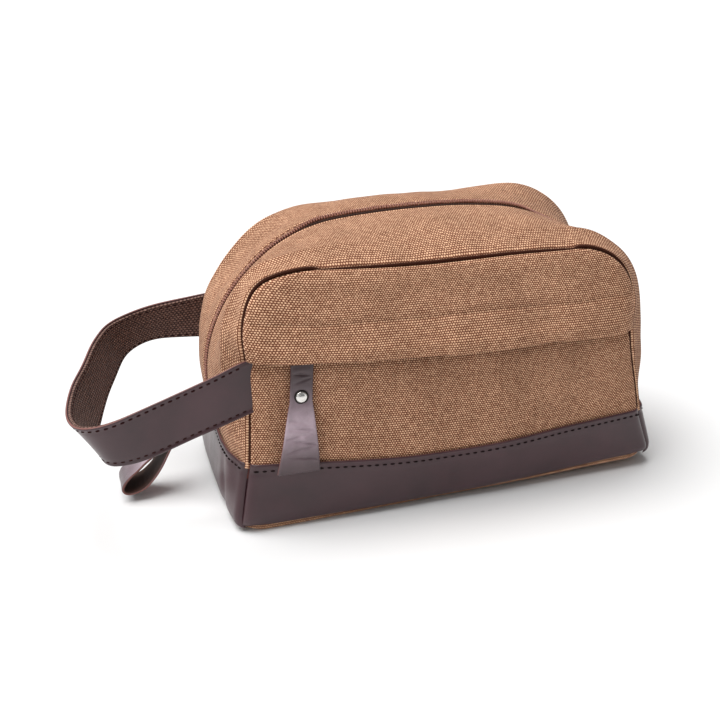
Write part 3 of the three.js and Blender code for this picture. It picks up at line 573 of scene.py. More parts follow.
def hide(name, dark, light, roughness, grain=0.9, depth=0.10, painted_sheen=None):
    """Smooth leather: fine grain, soft clouding and small handling creases. The last argument
    marks a painted highlight, a pale band painted where the leather tilts up to the light: its
    middle along the piece, and its reach."""
    g = Graph(name)
    place = g.place()
    cells = g.node("ShaderNodeTexVoronoi", feature="DISTANCE_TO_EDGE")
    g.links.new(place, cells.inputs["Vector"])
    cells.inputs["Scale"].default_value = 1000.0 / grain
    pores = g.math("MINIMUM", g.math("MULTIPLY", cells.outputs["Distance"], 3.0), 1.0)
    cloud = g.noise(place, 30.0, 5.0)
    colour = g.mix(g.math("MULTIPLY_ADD", cloud, 1.4, -0.2), dark, light)
    # Painted highlight: a pale lilac-grey band along the piece stands in for the top light's sheen.
    if painted_sheen:
        from_middle = g.math("DIVIDE", g.math("SUBTRACT", g.uv()[2], painted_sheen[0]), painted_sheen[1])
        sheen_zone = g.math("EXPONENT", g.math("MULTIPLY", g.math("MULTIPLY", from_middle, from_middle), -1.0))
        patchy = g.math("MULTIPLY_ADD", g.noise(place, 160.0, 4.0), 0.9, 0.5)
        colour = g.mix(g.math("MULTIPLY", sheen_zone, patchy), colour, srgb(176, 156, 166))
    g.set(base_color=colour, coat_weight=0.08, coat_roughness=0.35, specular_ior_level=0.5)
    g.set(roughness=g.math("MULTIPLY_ADD", g.noise(place, 120.0, 4.0), 0.16, roughness - 0.08))
    height = g.math("MULTIPLY", pores, 0.5)
    height = g.math("ADD", height, g.math("MULTIPLY", g.noise(place, 420.0, 4.0), 0.8))
    g.bump(height, 0.35, depth * MM)
    return g.material


def thread(name, colour):
    g = Graph(name)
    ply = g.node("ShaderNodeTexWave", bands_direction="DIAGONAL")
    g.links.new(g.place(), ply.inputs["Vector"])
    ply.inputs["Scale"].default_value = 900.0
    tint = g.mix(ply.outputs["Fac"], tuple(0.6 * c for c in colour), colour)
    g.set(base_color=tint, roughness=0.8, specular_ior_level=0.15)
    g.bump(ply.outputs["Fac"], 0.5, 0.1 * MM)
    return g.material


def plastic(name, dark, light):
    g = Graph(name)
    colour = g.mix(g.noise(g.place(), 500.0), dark, light)
    g.set(base_color=colour, roughness=0.38)
    g.bump(g.noise(g.place(), 1800.0), 0.2, 0.05 * MM)
    return g.material


def metal(name, colour, roughness):
    g = Graph(name)
    scratch = g.noise(g.place(), 700.0, 6.0, 0.7)
    tint = g.mix(g.noise(g.place(), 90.0), tuple(0.82 * c for c in colour), colour)
    g.set(base_color=tint, metallic=1.0)
    g.set(roughness=g.math("MULTIPLY_ADD", scratch, 0.16, roughness - 0.06))
    g.bump(scratch, 0.04, 0.05 * MM)
    return g.material


# Each tones triple is gap, yarn and crown: the gap partly painted shade, the crown partly painted
# highlight.
CANVAS_TONES = srgb(78, 43, 31), srgb(152, 100, 74), srgb(246, 202, 166)
CANVAS_CLOTH = woven("canvas", CANVAS_TONES, 1.5, 1.15, 0.4)
WEB_TONES = srgb(40, 28, 26), srgb(96, 72, 66), srgb(138, 110, 100)
STRAP_WEB = woven("strap_webbing", WEB_TONES, 2.3, 1.7, 0.4, 0.5, 0.4)
TAPE_TONES = srgb(30, 18, 15), srgb(60, 40, 33), srgb(88, 60, 50)
TAPE_CLOTH = woven("zip_tape", TAPE_TONES, 0.9, 0.8, 0.3, 0.25, 0.15)
LINING_TONES = srgb(54, 42, 34), srgb(92, 72, 58), srgb(120, 98, 82)
LINING_CLOTH = woven("lining", LINING_TONES, 0.7, 0.6, 0.3, 0.5, 0.08)
LEATHER = hide("leather", srgb(44, 24, 28), srgb(78, 48, 54), 0.36)
# The pull leather's pale band, centred 33 mm down with a 14 mm reach, is a painted highlight.
PULL_LEATHER = hide("pull_leather", srgb(50, 36, 38), srgb(84, 64, 68), 0.34, 0.8, 0.3, (33.0, 14.0))
RAW_EDGE = hide("raw_edge", srgb(104, 62, 56), srgb(140, 92, 84), 0.75, 0.5)
SUEDE = hide("leather_inside", srgb(60, 38, 32), srgb(92, 62, 52), 0.9, 0.5, 0.2)
# Painted shade: the dark seam cords and seam strips paint the shadow in the turned seams.
SEAM_SHADE = thread("painted_seam_shade", srgb(62, 28, 14))
DARK_THREAD = thread("dark_thread", srgb(30, 16, 15))
RED_THREAD = thread("red_thread", srgb(56, 26, 24))
TAN_THREAD = thread("tan_thread", srgb(104, 62, 42))
COIL_PLASTIC = plastic("zip_coil", srgb(104, 58, 47), srgb(176, 118, 98))
NICKEL = metal("nickel", srgb(226, 224, 220), 0.25)
BLACK_RING = metal("aged_nickel", srgb(60, 56, 54), 0.45)


def piece(made, body, slot, *stands_for):
    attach(made, body)
    if stands_for:
        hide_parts(*stands_for)


# ---------------------------------------------------------------- panels
PANEL_FINE = (0.0, 0.3, 0.7, 1.2, 1.8, 2.6)   # grid lines beside a seam, millimetres from it


def beside(reach):
    """Fractions across, closer together beside the seams at -1 and 1."""
    fine = [s * (1 - f / reach) for f in PANEL_FINE for s in (-1, 1)]
    return np.unique(np.concatenate([np.linspace(-1, 1, 118), fine]))


def panel_grid(patch, rows, out):
    """Points of a panel at fractions across and distances along the seam, out from its patch
    by out(across, run, distance from the seam)."""
    across, run = np.meshgrid(beside(PANEL_HALF), rows, indexing="ij")
    half, z = rim(run, SEAM)
    distance = np.minimum((1 - np.abs(across)) * half, HEIGHT - SEAM - z)
    return patch.at(across, run, out(across, run, distance)), np.stack([across * half, z], axis=-1)


def panel_sheet(name, patch, rows, outer, inner, material, flip=False, **rim_look):
    """A closed sheet between two levels over a panel."""
    top, uv = panel_grid(patch, rows, outer)
    under, _ = panel_grid(patch, rows, inner)
    return slab(name, top, under, uv, material, flip, **rim_look)


def puff(distance):
    """The cloth stands a little full beside a turned seam."""
    return 0.8 * bell(distance - 8.0, 6.0)


def pocket_panel():
    rows = edge_lines(BAND_TOP - 3.0, FLAP_EDGE + 5.0, 2.0)
    # The panel is drawn back behind the flap's edge.
    out = lambda a, r, d: roll(d, SEAM, SEAM) + puff(d) - 2.6 * bell(r - FLAP_EDGE - 3, 7.0)
    inner = lambda a, r, d: out(a, r, d) - CANVAS * 0.7
    made = panel_sheet("pocket_front_panel", FRONT, rows, out, inner, CANVAS_CLOTH)
    piece(made, "bag", "canvas", "pocket_panel")


YOKE_STAND = 5.8                              # how far the yoke stands off in front of the zip
YOKE_EASE = 110.0                             # above this height it comes in to the seam


def yoke_lift(across, run):
    """How far the yoke stands off the front surface: room for the pocket zip behind it."""
    z = rim(run)[1]
    low = lerp(6.8, YOKE_STAND, np.clip((z - FLAP_EDGE) / 12, 0, 1))
    high = YOKE_STAND * np.clip((HEIGHT - z) / (HEIGHT - YOKE_EASE), 0, 1) ** 1.2
    return np.where(z < YOKE_EASE, low, high) * (1 - np.abs(across) ** 12)


FLAP_THICK = 3.2                              # the flap's lower edge is folded double
YOKE_THICK = 1.5


def yoke_level(across, run, distance):
    """The middle of the yoke's cloth, out from the front patch."""
    z = rim(run)[1]
    stitched = -1.3 * bell(z - FLAP_STITCH, 1.6) + 1.1 * bell(z - FLAP_EDGE - 6, 6.0)
    lift = yoke_lift(across, run) + stitched * (1 - across ** 12)
    return lift + roll(distance, SEAM, SEAM) + puff(distance) + YOKE_THICK / 2


def front_yoke():
    rows = edge_lines(FLAP_EDGE, SIDE_RUN, 1.5, PANEL_FINE)

    def half(r):
        thick = lerp(FLAP_THICK, YOKE_THICK, np.clip((r - FLAP_EDGE - 6) / 4, 0, 1))
        return thick / 2 * fold(r - FLAP_EDGE + 0.02, FLAP_THICK / 2)

    outer = lambda a, r, d: yoke_level(a, r, d) + half(r)
    inner = lambda a, r, d: yoke_level(a, r, d) - half(r)
    made = panel_sheet("front_yoke_panel", FRONT, rows, outer, inner, CANVAS_CLOTH)
    piece(made, "bag", "canvas", "front_yoke")


def back_wall():
    rows = edge_lines(BAND_TOP - 3.0, SIDE_RUN, 2.0, PANEL_FINE)
    out = lambda a, r, d: roll(d, SEAM, SEAM) + puff(d)
    inner = lambda a, r, d: out(a, r, d) - CANVAS
    made = panel_sheet("rear_panel", BACK, rows, out, inner, CANVAS_CLOTH, True)
    piece(made, "bag", "canvas", "back_panel")


LINING_ROWS = (6.0, SIDE_RUN - 3.0)           # foot and top of the lining, along the seam


def lining_wall(name, patch, low, high, depth, flip, *nodes):
    """Soft lining cloth hanging a depth inside a panel."""
    rows = edge_lines(low, high, 4.0, (0.0, 0.5))
    across, run = np.meshgrid(np.linspace(-0.94, 0.94, 60), rows, indexing="ij")
    rest = patch.at(across, run, -depth)
    slack = soft_noise(rest, 30.0, depth) * 1.1 * np.clip((high - run) / 15, 0, 1)
    points = patch.at(across, run, -depth - np.abs(slack))
    under = patch.at(across, run, -depth - np.abs(slack) - LINING_CLOTH_THICK)
    uv = np.stack([across * PANEL_HALF, run], axis=-1)
    piece(slab(name, points, under, uv, LINING_CLOTH, flip), "bag", "lining", *nodes)


# ---------------------------------------------------------------- leather band
BAND_ROLL = 5.0                               # the leather turns in round a wider curve
BAND_FINE = (0.0, 0.25, 0.6, 1.1, 1.8)
RAW_EDGE_ABOVE = BAND_TOP - 8.0               # the band's raw edge shows only along its top


def band_level(run, distance, foot_depth):
    """The middle of the leather: a lip above its stitching, and a foot that curls under."""
    from_top = BAND_TOP - run
    lip = 0.5 * bell(from_top - 1.4, 1.5) - 0.5 * bell(from_top - BAND_STITCH_DROP, 1.1)
    foot = foot_depth * (fold(run - BAND_FOOT + 0.05, 7.0) - 1)
    return BAND_OFF + HIDE / 2 + lip + foot + roll(distance, BAND_ROLL, 3.4)


def band_half(run):
    return HIDE / 2 * fold(np.minimum(run - BAND_FOOT, BAND_TOP - run) + 0.05, 0.6)


def leather_panel(name, patch, node, flip):
    rows = edge_lines(BAND_FOOT, BAND_TOP, 2.2, BAND_FINE)
    level = lambda r, d: band_level(r, d, 3.4 + 3.0 * bell(d, 10.0))
    outer = lambda a, r, d: level(r, d) + band_half(r)
    inner = lambda a, r, d: level(r, d) - band_half(r)
    made = panel_sheet(name, patch, rows, outer, inner, LEATHER, flip, edge=RAW_EDGE,
                       edge_above=RAW_EDGE_ABOVE)
    piece(made, "bag", "leather", node)


def leather_end(name, node, end):
    rows = edge_lines(BAND_FOOT, BAND_TOP, 2.2, BAND_FINE)
    run, across = np.meshgrid(rows, beside(BASE_DEPTH), indexing="ij")
    crease = -1.6 * bell(across + 0.55, 0.09) * bell(run - 16, 18)
    level = band_level(run, (1 - np.abs(across)) * BASE_DEPTH, 3.0) + crease
    outer = GUSSET[end].at(run, across, level + band_half(run))
    inner = GUSSET[end].at(run, across, level - band_half(run))
    uv = np.stack([across * BASE_DEPTH, run], axis=-1)
    made = slab(name, outer, inner, uv, LEATHER, end < 0, RAW_EDGE, edge_above=RAW_EDGE_ABOVE)
    piece(made, "bag", "leather", node)


# ---------------------------------------------------------------- gusset
QUARTERS = [(side, end) for side in (-1, 1) for end in (-1, 1)]


def turned(side, end):
    """Whether a quarter's grid faces the other way."""
    return (side > 0) ^ (end > 0)


def quarter_name(side, end):
    return ("front" if side < 0 else "rear") + ("_left" if end < 0 else "_right")


def gusset_half(side, end):
    """One quarter of the gusset: from the table to the middle of the top, seam to zip."""
    rows = edge_lines(BAND_TOP - 3.0, HALF_RUN, 1.8, ends=(True, False))
    near = ZIP_FOLD / BASE_DEPTH
    fine = [near + f / BASE_DEPTH for f in PANEL_FINE] + [1 - f / BASE_DEPTH for f in PANEL_FINE]
    v = np.unique(np.concatenate([np.linspace(near, 1, 46), fine]))
    run, across = np.meshgrid(rows, v, indexing="ij")
    d_seam = (1 - across) * BASE_DEPTH
    d_zip = (across - near) * BASE_DEPTH
    half = CANVAS / 2 * fold(d_zip + 0.02, CANVAS / 2)
    pucker = 0.4 * np.sin(run / 5.5 + 2.2 * np.sin(run / 17.0)) * bell(d_seam - 3, 6.0)
    ditch = -0.5 * bell(d_zip - ZIP_STITCH_IN, 0.8) + 0.3 * bell(d_zip - 0.6, 1.2)
    sunk = -1.0 * bell(d_zip, 4.0)
    level = roll(d_seam, SEAM, SEAM) + pucker + ditch + sunk - CANVAS / 2
    patch = GUSSET[end]
    points = patch.at(run, side * across, level)
    # The last strip of cloth is drawn to the sunk line where the panel ends.
    pull = seam_line(side, end, rows)[:, None] - points[:, -1:]
    points = points + pull * (np.clip(1 - d_seam / (3 * SEAM), 0, 1) ** 2)[..., None]
    normals = patch.normal(run, side * across)
    outer = points + normals * half[..., None]
    inner = points - normals * half[..., None]
    uv = np.stack([run, across * BASE_DEPTH * 0.85], axis=-1)
    name = "gusset_" + quarter_name(side, end)
    return slab(name, outer, inner, uv, CANVAS_CLOTH, turned(side, end), open_end=True)


def seam_allowance(side):
    """A strip that stays with the seam, so the bag stays closed behind the mouth's edge when
    it stands up. It is dark as painted shade, so the top seam's crease reads as a shadow."""
    run = np.linspace(SIDE_TOP, HALF_RUN, 70)
    v = np.linspace(0.72, 0.985, 9)
    for end in (-1, 1):
        along, across = np.meshgrid(run, v, indexing="ij")
        depth = lerp(4.2, 1.9, np.clip((across - 0.72) / 0.2, 0, 1))
        outer = GUSSET[end].at(along, side * across, -depth)
        inner = GUSSET[end].at(along, side * across, -depth - 0.6)
        # Its outer edge is sewn into the sunk line.
        sewn = (seam_line(side, end, run)[:, None] - outer[:, -1:])
        share = (np.clip((across - 0.88) / 0.105, 0, 1) ** 2)[..., None]
        uv = np.stack([along, across * BASE_DEPTH], axis=-1)
        name = "seam_allowance_" + quarter_name(side, end)
        # Painted shade: the strip takes the dark seam material so the crease reads dark.
        made = slab(name, outer + sewn * share, inner + sewn * share, uv, SEAM_SHADE, turned(side, end))
        piece(made, "bag", "canvas")


def hung_inside(end, run, across, depth, slackness, seed):
    """Both faces of soft lining cloth, hanging a depth inside the gusset."""
    patch = GUSSET[end]
    slack = slackness * np.abs(soft_noise(patch.at(run, across), 26.0, seed))
    return [patch.at(run, across, -level - slack) for level in (depth, depth + LINING_CLOTH_THICK)]


def gusset_lining(side, end):
    rows = edge_lines(BAND_TOP - 2.0, HALF_RUN, 4.0, ends=(True, False))
    run, across = np.meshgrid(rows, np.linspace(0.24, 0.9, 14), indexing="ij")
    outer, inner = hung_inside(end, run, side * across, 2.5, 0.5, 41.0)
    uv = np.stack([run, across * BASE_DEPTH], axis=-1)
    name = "lining_" + quarter_name(side, end)
    return slab(name, outer, inner, uv, LINING_CLOTH, turned(side, end), open_end=True)


def lining_end(name, end, node):
    rows = edge_lines(6.0, BAND_TOP + 3.0, 4.0, (0.0, 0.5))
    run, across = np.meshgrid(rows, np.linspace(-0.9, 0.9, 40), indexing="ij")
    outer, inner = hung_inside(end, run, across, 3.4, 0.6, 47.0)
    uv = np.stack([run, across * BASE_DEPTH], axis=-1)
    piece(slab(name, outer, inner, uv, LINING_CLOTH, end < 0), "bag", "lining", node)


FLOOR_HALF = (112.0, 56.0)


def floor_sheet(name, half_x, half_y, low, high, slot, node):
    """A flat sheet over the bag's floor, a little slack."""
    x, y = np.meshgrid(np.linspace(-half_x, half_x, 50), np.linspace(-half_y, half_y, 30), indexing="ij")
    flat = np.stack([x, y, np.zeros_like(x)], axis=-1)
    rise = np.stack([0 * x, 0 * x, high + 0.4 * np.abs(soft_noise(flat, 30.0, high))], axis=-1)
    foot = settle(flat)
    top = foot + rise
    under = foot + np.array([0.0, 0.0, low])
    piece(slab(name, top, under, np.stack([x, y], axis=-1), LINING_CLOTH), "bag", slot, node)


def follow_mouth(made):
    """Bakes the piece's placement into its mesh."""
    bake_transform(made)


def zip_line(side, end, offset, out):
    """Points and normals of a line beside the zip, on one side and one end."""
    run = np.append(np.arange(BAND_TOP - 2, HALF_RUN, 1.5), HALF_RUN)
    v = side * offset / half_depth(rim(run)[1])
    return GUSSET[end].at(run, v, out), GUSSET[end].normal(run, v)


TAPE_LINES = ((0.2, -1.9), (2.4, -1.9), (5.2, -1.9), (6.4, -2.3), (8.0, -2.5), (14.0, -1.9))


def zip_tape(side, end):
    lines = [zip_line(side, end, y, out) for y, out in TAPE_LINES]
    top = np.stack([points for points, _ in lines], axis=1)
    under = top - np.stack([normals for _, normals in lines], axis=1) * 0.5
    run = lengths_along(top[:, 0])
    uv = np.stack(np.meshgrid(run, [y for y, _ in TAPE_LINES], indexing="ij"), axis=-1)
    name = "tape_" + quarter_name(side, end)
    return slab(name, top, under, uv, TAPE_CLOTH, turned(side, end), open_end=True)


ZIP_STITCH = (2.8, 1.3, 0.6)                  # length, gap and thickness
COIL_PITCH = 1.6
TOOTH = (2.2, 1.1, 2.1)                      # across the zip, along it, and its height


def zip_coil(side, end):
    """Half of the coil: a row of teeth on one side of the middle."""
    # The chain stands proud over the top, and lies low where the slider runs.
    points, normals = zip_line(side, end, 1.6, -0.75)
    proud = np.clip((78.0 - np.abs(points[:, 0])) / 16.0, 0, 1)
    points = points + normals * (1.3 * proud * proud * (3 - 2 * proud))[:, None]
    start = COIL_PITCH * (0.25 if side < 0 else 0.75)
    centres, up, along = evenly(points, normals, COIL_PITCH, start)
    across = np.cross(up, along)
    return beads("coil_" + quarter_name(side, end), centres, across, up, TOOTH, COIL_PLASTIC)


def tube(name, points, radius, material, sides=8):
    """A cord along a line of points."""
    tangent = tangents(points)
    side = np.cross(tangent, (0.3, 0.5, 0.8))
    side /= np.linalg.norm(side, axis=1, keepdims=True)
    other = np.cross(tangent, side)
    angles = np.linspace(0, 2 * math.pi, sides, endpoint=False)
    rings = [points + radius * (side * math.cos(a) + other * math.sin(a)) for a in angles]
    verts = np.stack(rings, axis=1)
    return mesh_object(name, verts.reshape(-1, 3), ring_faces(len(verts), sides, False), material)


# Place and thickness of the dark cords painted as shade in the seam grooves.
SHADE_CORD_LIFT = np.array([0.0, -0.3, 1.5])
SHADE_CORD_RADIUS = 0.95


def seam_shade_cords():
    """Dark cords deep between the two turned edges: painted shade for the shadow in the seams' creases."""
    run = np.append(np.arange(BAND_TOP - 1, HALF_RUN, 1.5), HALF_RUN)
    for side, end in QUARTERS:
        line = seam_line(side, end, run) + SHADE_CORD_LIFT
        # A dark cord painted as the crease's shadow.
        cord = tube("painted_seam_shade_" + quarter_name(side, end), line, SHADE_CORD_RADIUS, SEAM_SHADE)
        piece(cord, "bag", "canvas")


def zips():
    kinds = ((gusset_half, "gusset", "canvas"), (zip_tape, "zip_tape", "zip_tape"),
             (zip_coil, "zip_coil", "zip_coil"), (gusset_lining, "lining_gusset", "lining"))
    for side, end in QUARTERS:
        side_name = "front" if side < 0 else "rear"
        end_name = "left" if end < 0 else "right"
        for make, kind, slot in kinds:
            made = make(side, end)
            follow_mouth(made)
            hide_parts(f"{kind}_{end_name}_{side_name}", f"{kind}_top_{side_name}")
        points, normals = zip_line(side, end, ZIP_FOLD + ZIP_STITCH_IN, -1.0)
        name = "zip_stitching_" + quarter_name(side, end)
        row = stitches(name, points, normals, TAN_THREAD, *ZIP_STITCH)
        follow_mouth(row)


# ---------------------------------------------------------------- base
BASE_RINGS = [(0.0, -6.0), (0.2, -4.8), (0.9, -4.0), (1.8, -3.7), (2.9, -3.8), (3.8, -4.4), (4.2, -6.0)]
BASE_CORNER = 14.0


def base():
    turn = np.linspace(0, math.pi / 2, 9)
    corner = np.stack([np.cos(turn), np.sin(turn)], axis=1) * BASE_CORNER
    corner += (BASE_HALF - BASE_CORNER, BASE_DEPTH - BASE_CORNER)
    along = np.linspace(corner[-1, 0], 0, 50)[1:]
    rear = np.concatenate([corner, np.stack([along, np.full(49, BASE_DEPTH)], axis=1)])
    rear = np.concatenate([rear, rear[-2::-1] * (-1, 1)])
    across = np.linspace(corner[0, 1], -corner[0, 1], 40)[1:-1]
    end = np.stack([-BASE_HALF - 1.2 * (1 - (across / BASE_DEPTH) ** 2), across], axis=1)
    half = np.concatenate([rear, end])
    outline = np.concatenate([half, -half])
    direction = outline / np.hypot(outline[:, 0], outline[:, 1])[:, None]
    m = len(outline)
    verts = np.concatenate([np.column_stack([outline + direction * out, np.full(m, z)])
                            for z, out in BASE_RINGS])
    faces = ring_faces(len(BASE_RINGS), m)
    run = lengths_along(np.column_stack([outline, np.zeros(m)]))
    uvs = np.concatenate([np.stack([run, np.full(m, z - out)], axis=1) for z, out in BASE_RINGS])
    made = mesh_object("base_canvas", settle_low(verts), faces, CANVAS_CLOTH, uvs)
    piece(made, "bag", "canvas", "base_panel")


def settle_low(verts):
    """The base follows the band's foot."""
    foot = verts * np.array([1.0, 1.0, 0.0])
    return verts + settle(foot) - foot


# ---------------------------------------------------------------- wrist strap
STRAP_WIDTH = 30.0
STRAP_STITCH = (3.1, 1.3, 0.95)               # length, gap and thickness
STRAP_STITCH_IN = 2.6                         # from the strap's edge
# The strap's top and bottom edges, from inside the front seam round the loop to inside the rear.
STRAP_TOP = np.array([
    (-112, -61, 101), (-119.5, -64, 100.5), (-130, -67, 97.5), (-143, -70, 94), (-170, -76, 87),
    (-190, -77.5, 80.5), (-203, -75, 78), (-211, -62, 78.5), (-212, -46, 79), (-209, -28, 79.5),
    (-205, -10, 80), (-199, 6, 82), (-194, 22, 85.5), (-188, 37, 88.5), (-180, 51, 91.5),
    (-155, 61, 96), (-138, 62.5, 97.5), (-124, 62.5, 98.5), (-118.5, 63.5, 99.5), (-112, 61, 100),
], float)
STRAP_FOOT = np.array([
    (-110, -61, 71), (-115.5, -64, 70.5), (-130, -67.5, 67), (-145, -70, 63.5), (-172, -75, 57),
    (-184, -69, 52.5), (-193, -66, 51.5), (-195, -48, 51.5), (-196.5, -32, 51.5), (-195.5, -21, 51.7),
    (-194, -12, 52), (-191, 4, 54), (-187, 19, 57), (-180, 42, 60.5), (-172, 64, 64),
    (-153, 76, 68), (-140, 73, 69), (-126, 68, 70), (-119, 65.5, 70), (-112, 61, 70),
], float)


def smooth_curve(values, run, at):
    """Values along a smooth curve through rows of values given at run."""
    slopes = np.gradient(values, run, axis=0)
    k = np.clip(np.searchsorted(run, at, side="right") - 1, 0, len(run) - 2)
    h = (run[k + 1] - run[k])[:, None]
    t = ((at - run[k]) / h[:, 0])[:, None]
    return ((2 * t ** 3 - 3 * t ** 2 + 1) * values[k] + (t ** 3 - 2 * t ** 2 + t) * h * slopes[k]
            + (-2 * t ** 3 + 3 * t ** 2) * values[k + 1] + (t ** 3 - t ** 2) * h * slopes[k + 1])


def eased(points, reach=14):
    """The same line without its small kinks; its ends stay put."""
    weights = np.hanning(2 * reach + 1)
    weights /= weights.sum()
    before = 2 * points[0] - points[reach:0:-1]
    after = 2 * points[-1] - points[-2:-reach - 2:-1]
    padded = np.concatenate([before, points, after])
    return np.stack([np.convolve(padded[:, k], weights, "valid") for k in range(3)], axis=1)


def strap_frame(count=260):
    """The strap's middle line, its way up and its way out."""
    run = lengths_along((STRAP_TOP + STRAP_FOOT) / 2)
    at = np.linspace(0, run[-1], count)
    top = smooth_curve(STRAP_TOP, run, at)
    foot = smooth_curve(STRAP_FOOT, run, at)
    top, foot = eased(top), eased(foot)
    path = (top + foot) / 2
    up = (top - foot) / np.linalg.norm(top - foot, axis=1, keepdims=True)
    out = -np.cross(tangents(path), up)
    out /= np.linalg.norm(out, axis=1, keepdims=True)
    return path, up, out


def strap_wave(points):
    return soft_noise(points, 24.0, 5.0)[..., None] * 0.3


def strap_layer(name, width, outer, inner, material, node, edge=None):
    path, up, out = strap_frame()
    fine = [s * (0.5 - f / width) for f in (0.2, 0.5, 1.0, 1.8) for s in (-1, 1)]
    across = np.unique(np.concatenate([np.linspace(-0.5, 0.5, 15), fine]))
    d_edge = (0.5 - np.abs(across)) * width
    dip = -0.45 * bell(d_edge - STRAP_STITCH_IN, 0.8) + 0.25 * bell(d_edge - 0.8, 0.9)
    round_off = (outer - inner) / 2 * (1 - fold(d_edge + 0.15, 0.7))
    rows = path[:, None] + up[:, None] * (across * width)[None, :, None]
    wave = strap_wave(rows)
    top = rows + out[:, None] * ((outer + dip - round_off)[None, :, None] + wave)
    under = rows + out[:, None] * ((inner + round_off)[None, :, None] + wave)
    uv = np.stack(np.meshgrid(lengths_along(path), across * width, indexing="ij"), axis=-1)
    made = slab(name, top, under, uv, material, False, edge)
    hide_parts(node)
    follow_strap(made)


def follow_strap(made):
    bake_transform(made)


def wrist_strap():
    strap_layer("strap_leather_outside", STRAP_WIDTH, 1.2, 0.0, LEATHER, "strap_leather",
                RAW_EDGE)
    strap_layer("strap_webbing_inside", STRAP_WIDTH - 1.6, -0.05, -1.5, STRAP_WEB, "strap_webbing")
    path, up, out = strap_frame()
    for name, share in (("upper", 0.5), ("lower", -0.5)):
        offset = share * STRAP_WIDTH - math.copysign(STRAP_STITCH_IN, share)
        for face, level, sign in (("outside", 0.95, 1), ("inside", -1.45, -1)):
            line = path + up * offset
            line += out * (strap_wave(line) + level)
            row = stitches(f"strap_stitching_{name}_{face}", line[8:-8], out[8:-8] * sign, RED_THREAD,
                           *STRAP_STITCH)
            follow_strap(row)


# ---------------------------------------------------------------- pulls
def lathe(name, profile, centre, axis, material, count=36):
    """A turned part: profile rows are (radius, height along the axis), first and last at the
    middle."""
    axis = np.array(axis, float) / np.linalg.norm(axis)
    side = np.cross(axis, (0.0, 1.0, 0.0) if abs(axis[1]) < 0.9 else (1.0, 0.0, 0.0))
    side /= np.linalg.norm(side)
    other = np.cross(axis, side)
    verts = []
    for radius, height in profile:
        for angle in np.linspace(0, 2 * math.pi, count, endpoint=False):
            round_it = side * math.cos(angle) + other * math.sin(angle)
            verts.append(centre + axis * height + round_it * max(radius, 0.01))
    return mesh_object(name, np.array(verts), ring_faces(len(profile), count), material)


CAP = [(0.0, 0.0), (2.9, 0.0), (3.1, 0.25), (3.0, 0.6), (2.5, 0.9), (2.1, 0.8), (1.7, 1.1), (0.9, 1.35),
       (0.0, 1.4)]
CAP_RING = [(0.0, -0.1), (3.8, -0.1), (4.0, 0.1), (3.7, 0.3), (3.0, 0.35), (0.0, 0.3)]

PULL_REACH = 9.0                              # about the pulls' mean half width


def edged(count, fine):
    """Fractions across a pull, with closer lines beside its edges."""
    lines = [e * (1 - f / PULL_REACH) for f in fine for e in (-1, 1)]
    return np.unique(np.concatenate([np.linspace(-1, 1, count), lines]))


POCKET_X = -88.0
POCKET_BAR_Y, POCKET_BAR_Z = -69.478, 96.0
POCKET_TILT = math.radians(5.2)
POCKET_LEAN = 0.09                            # how far the foot hangs to the left, as a share
POCKET_PULL_LENGTH = 60.5
POCKET_NECK, POCKET_FOOT = 12.6, 24.0         # the pull's widths
POCKET_THICK = 2.5
POCKET_RIVET = 17.0                           # distance below the bar

# Handling creases across the pull: distance down, slant, middle across, depth.
PULL_CREASES = [(4.5, 1.0, 0, 0.4), (8.0, -1.5, 0.2, 0.4), (31.5, 2.5, -0.3, 0.4), (35.0, 1.0, 0.2, 0.6),
                (38.5, -1.5, -0.4, 0.5), (42.0, 2.5, 0.4, 0.6), (46.0, -2.0, 0, 0.5), (51.0, 1.5, 0.3, 0.4)]


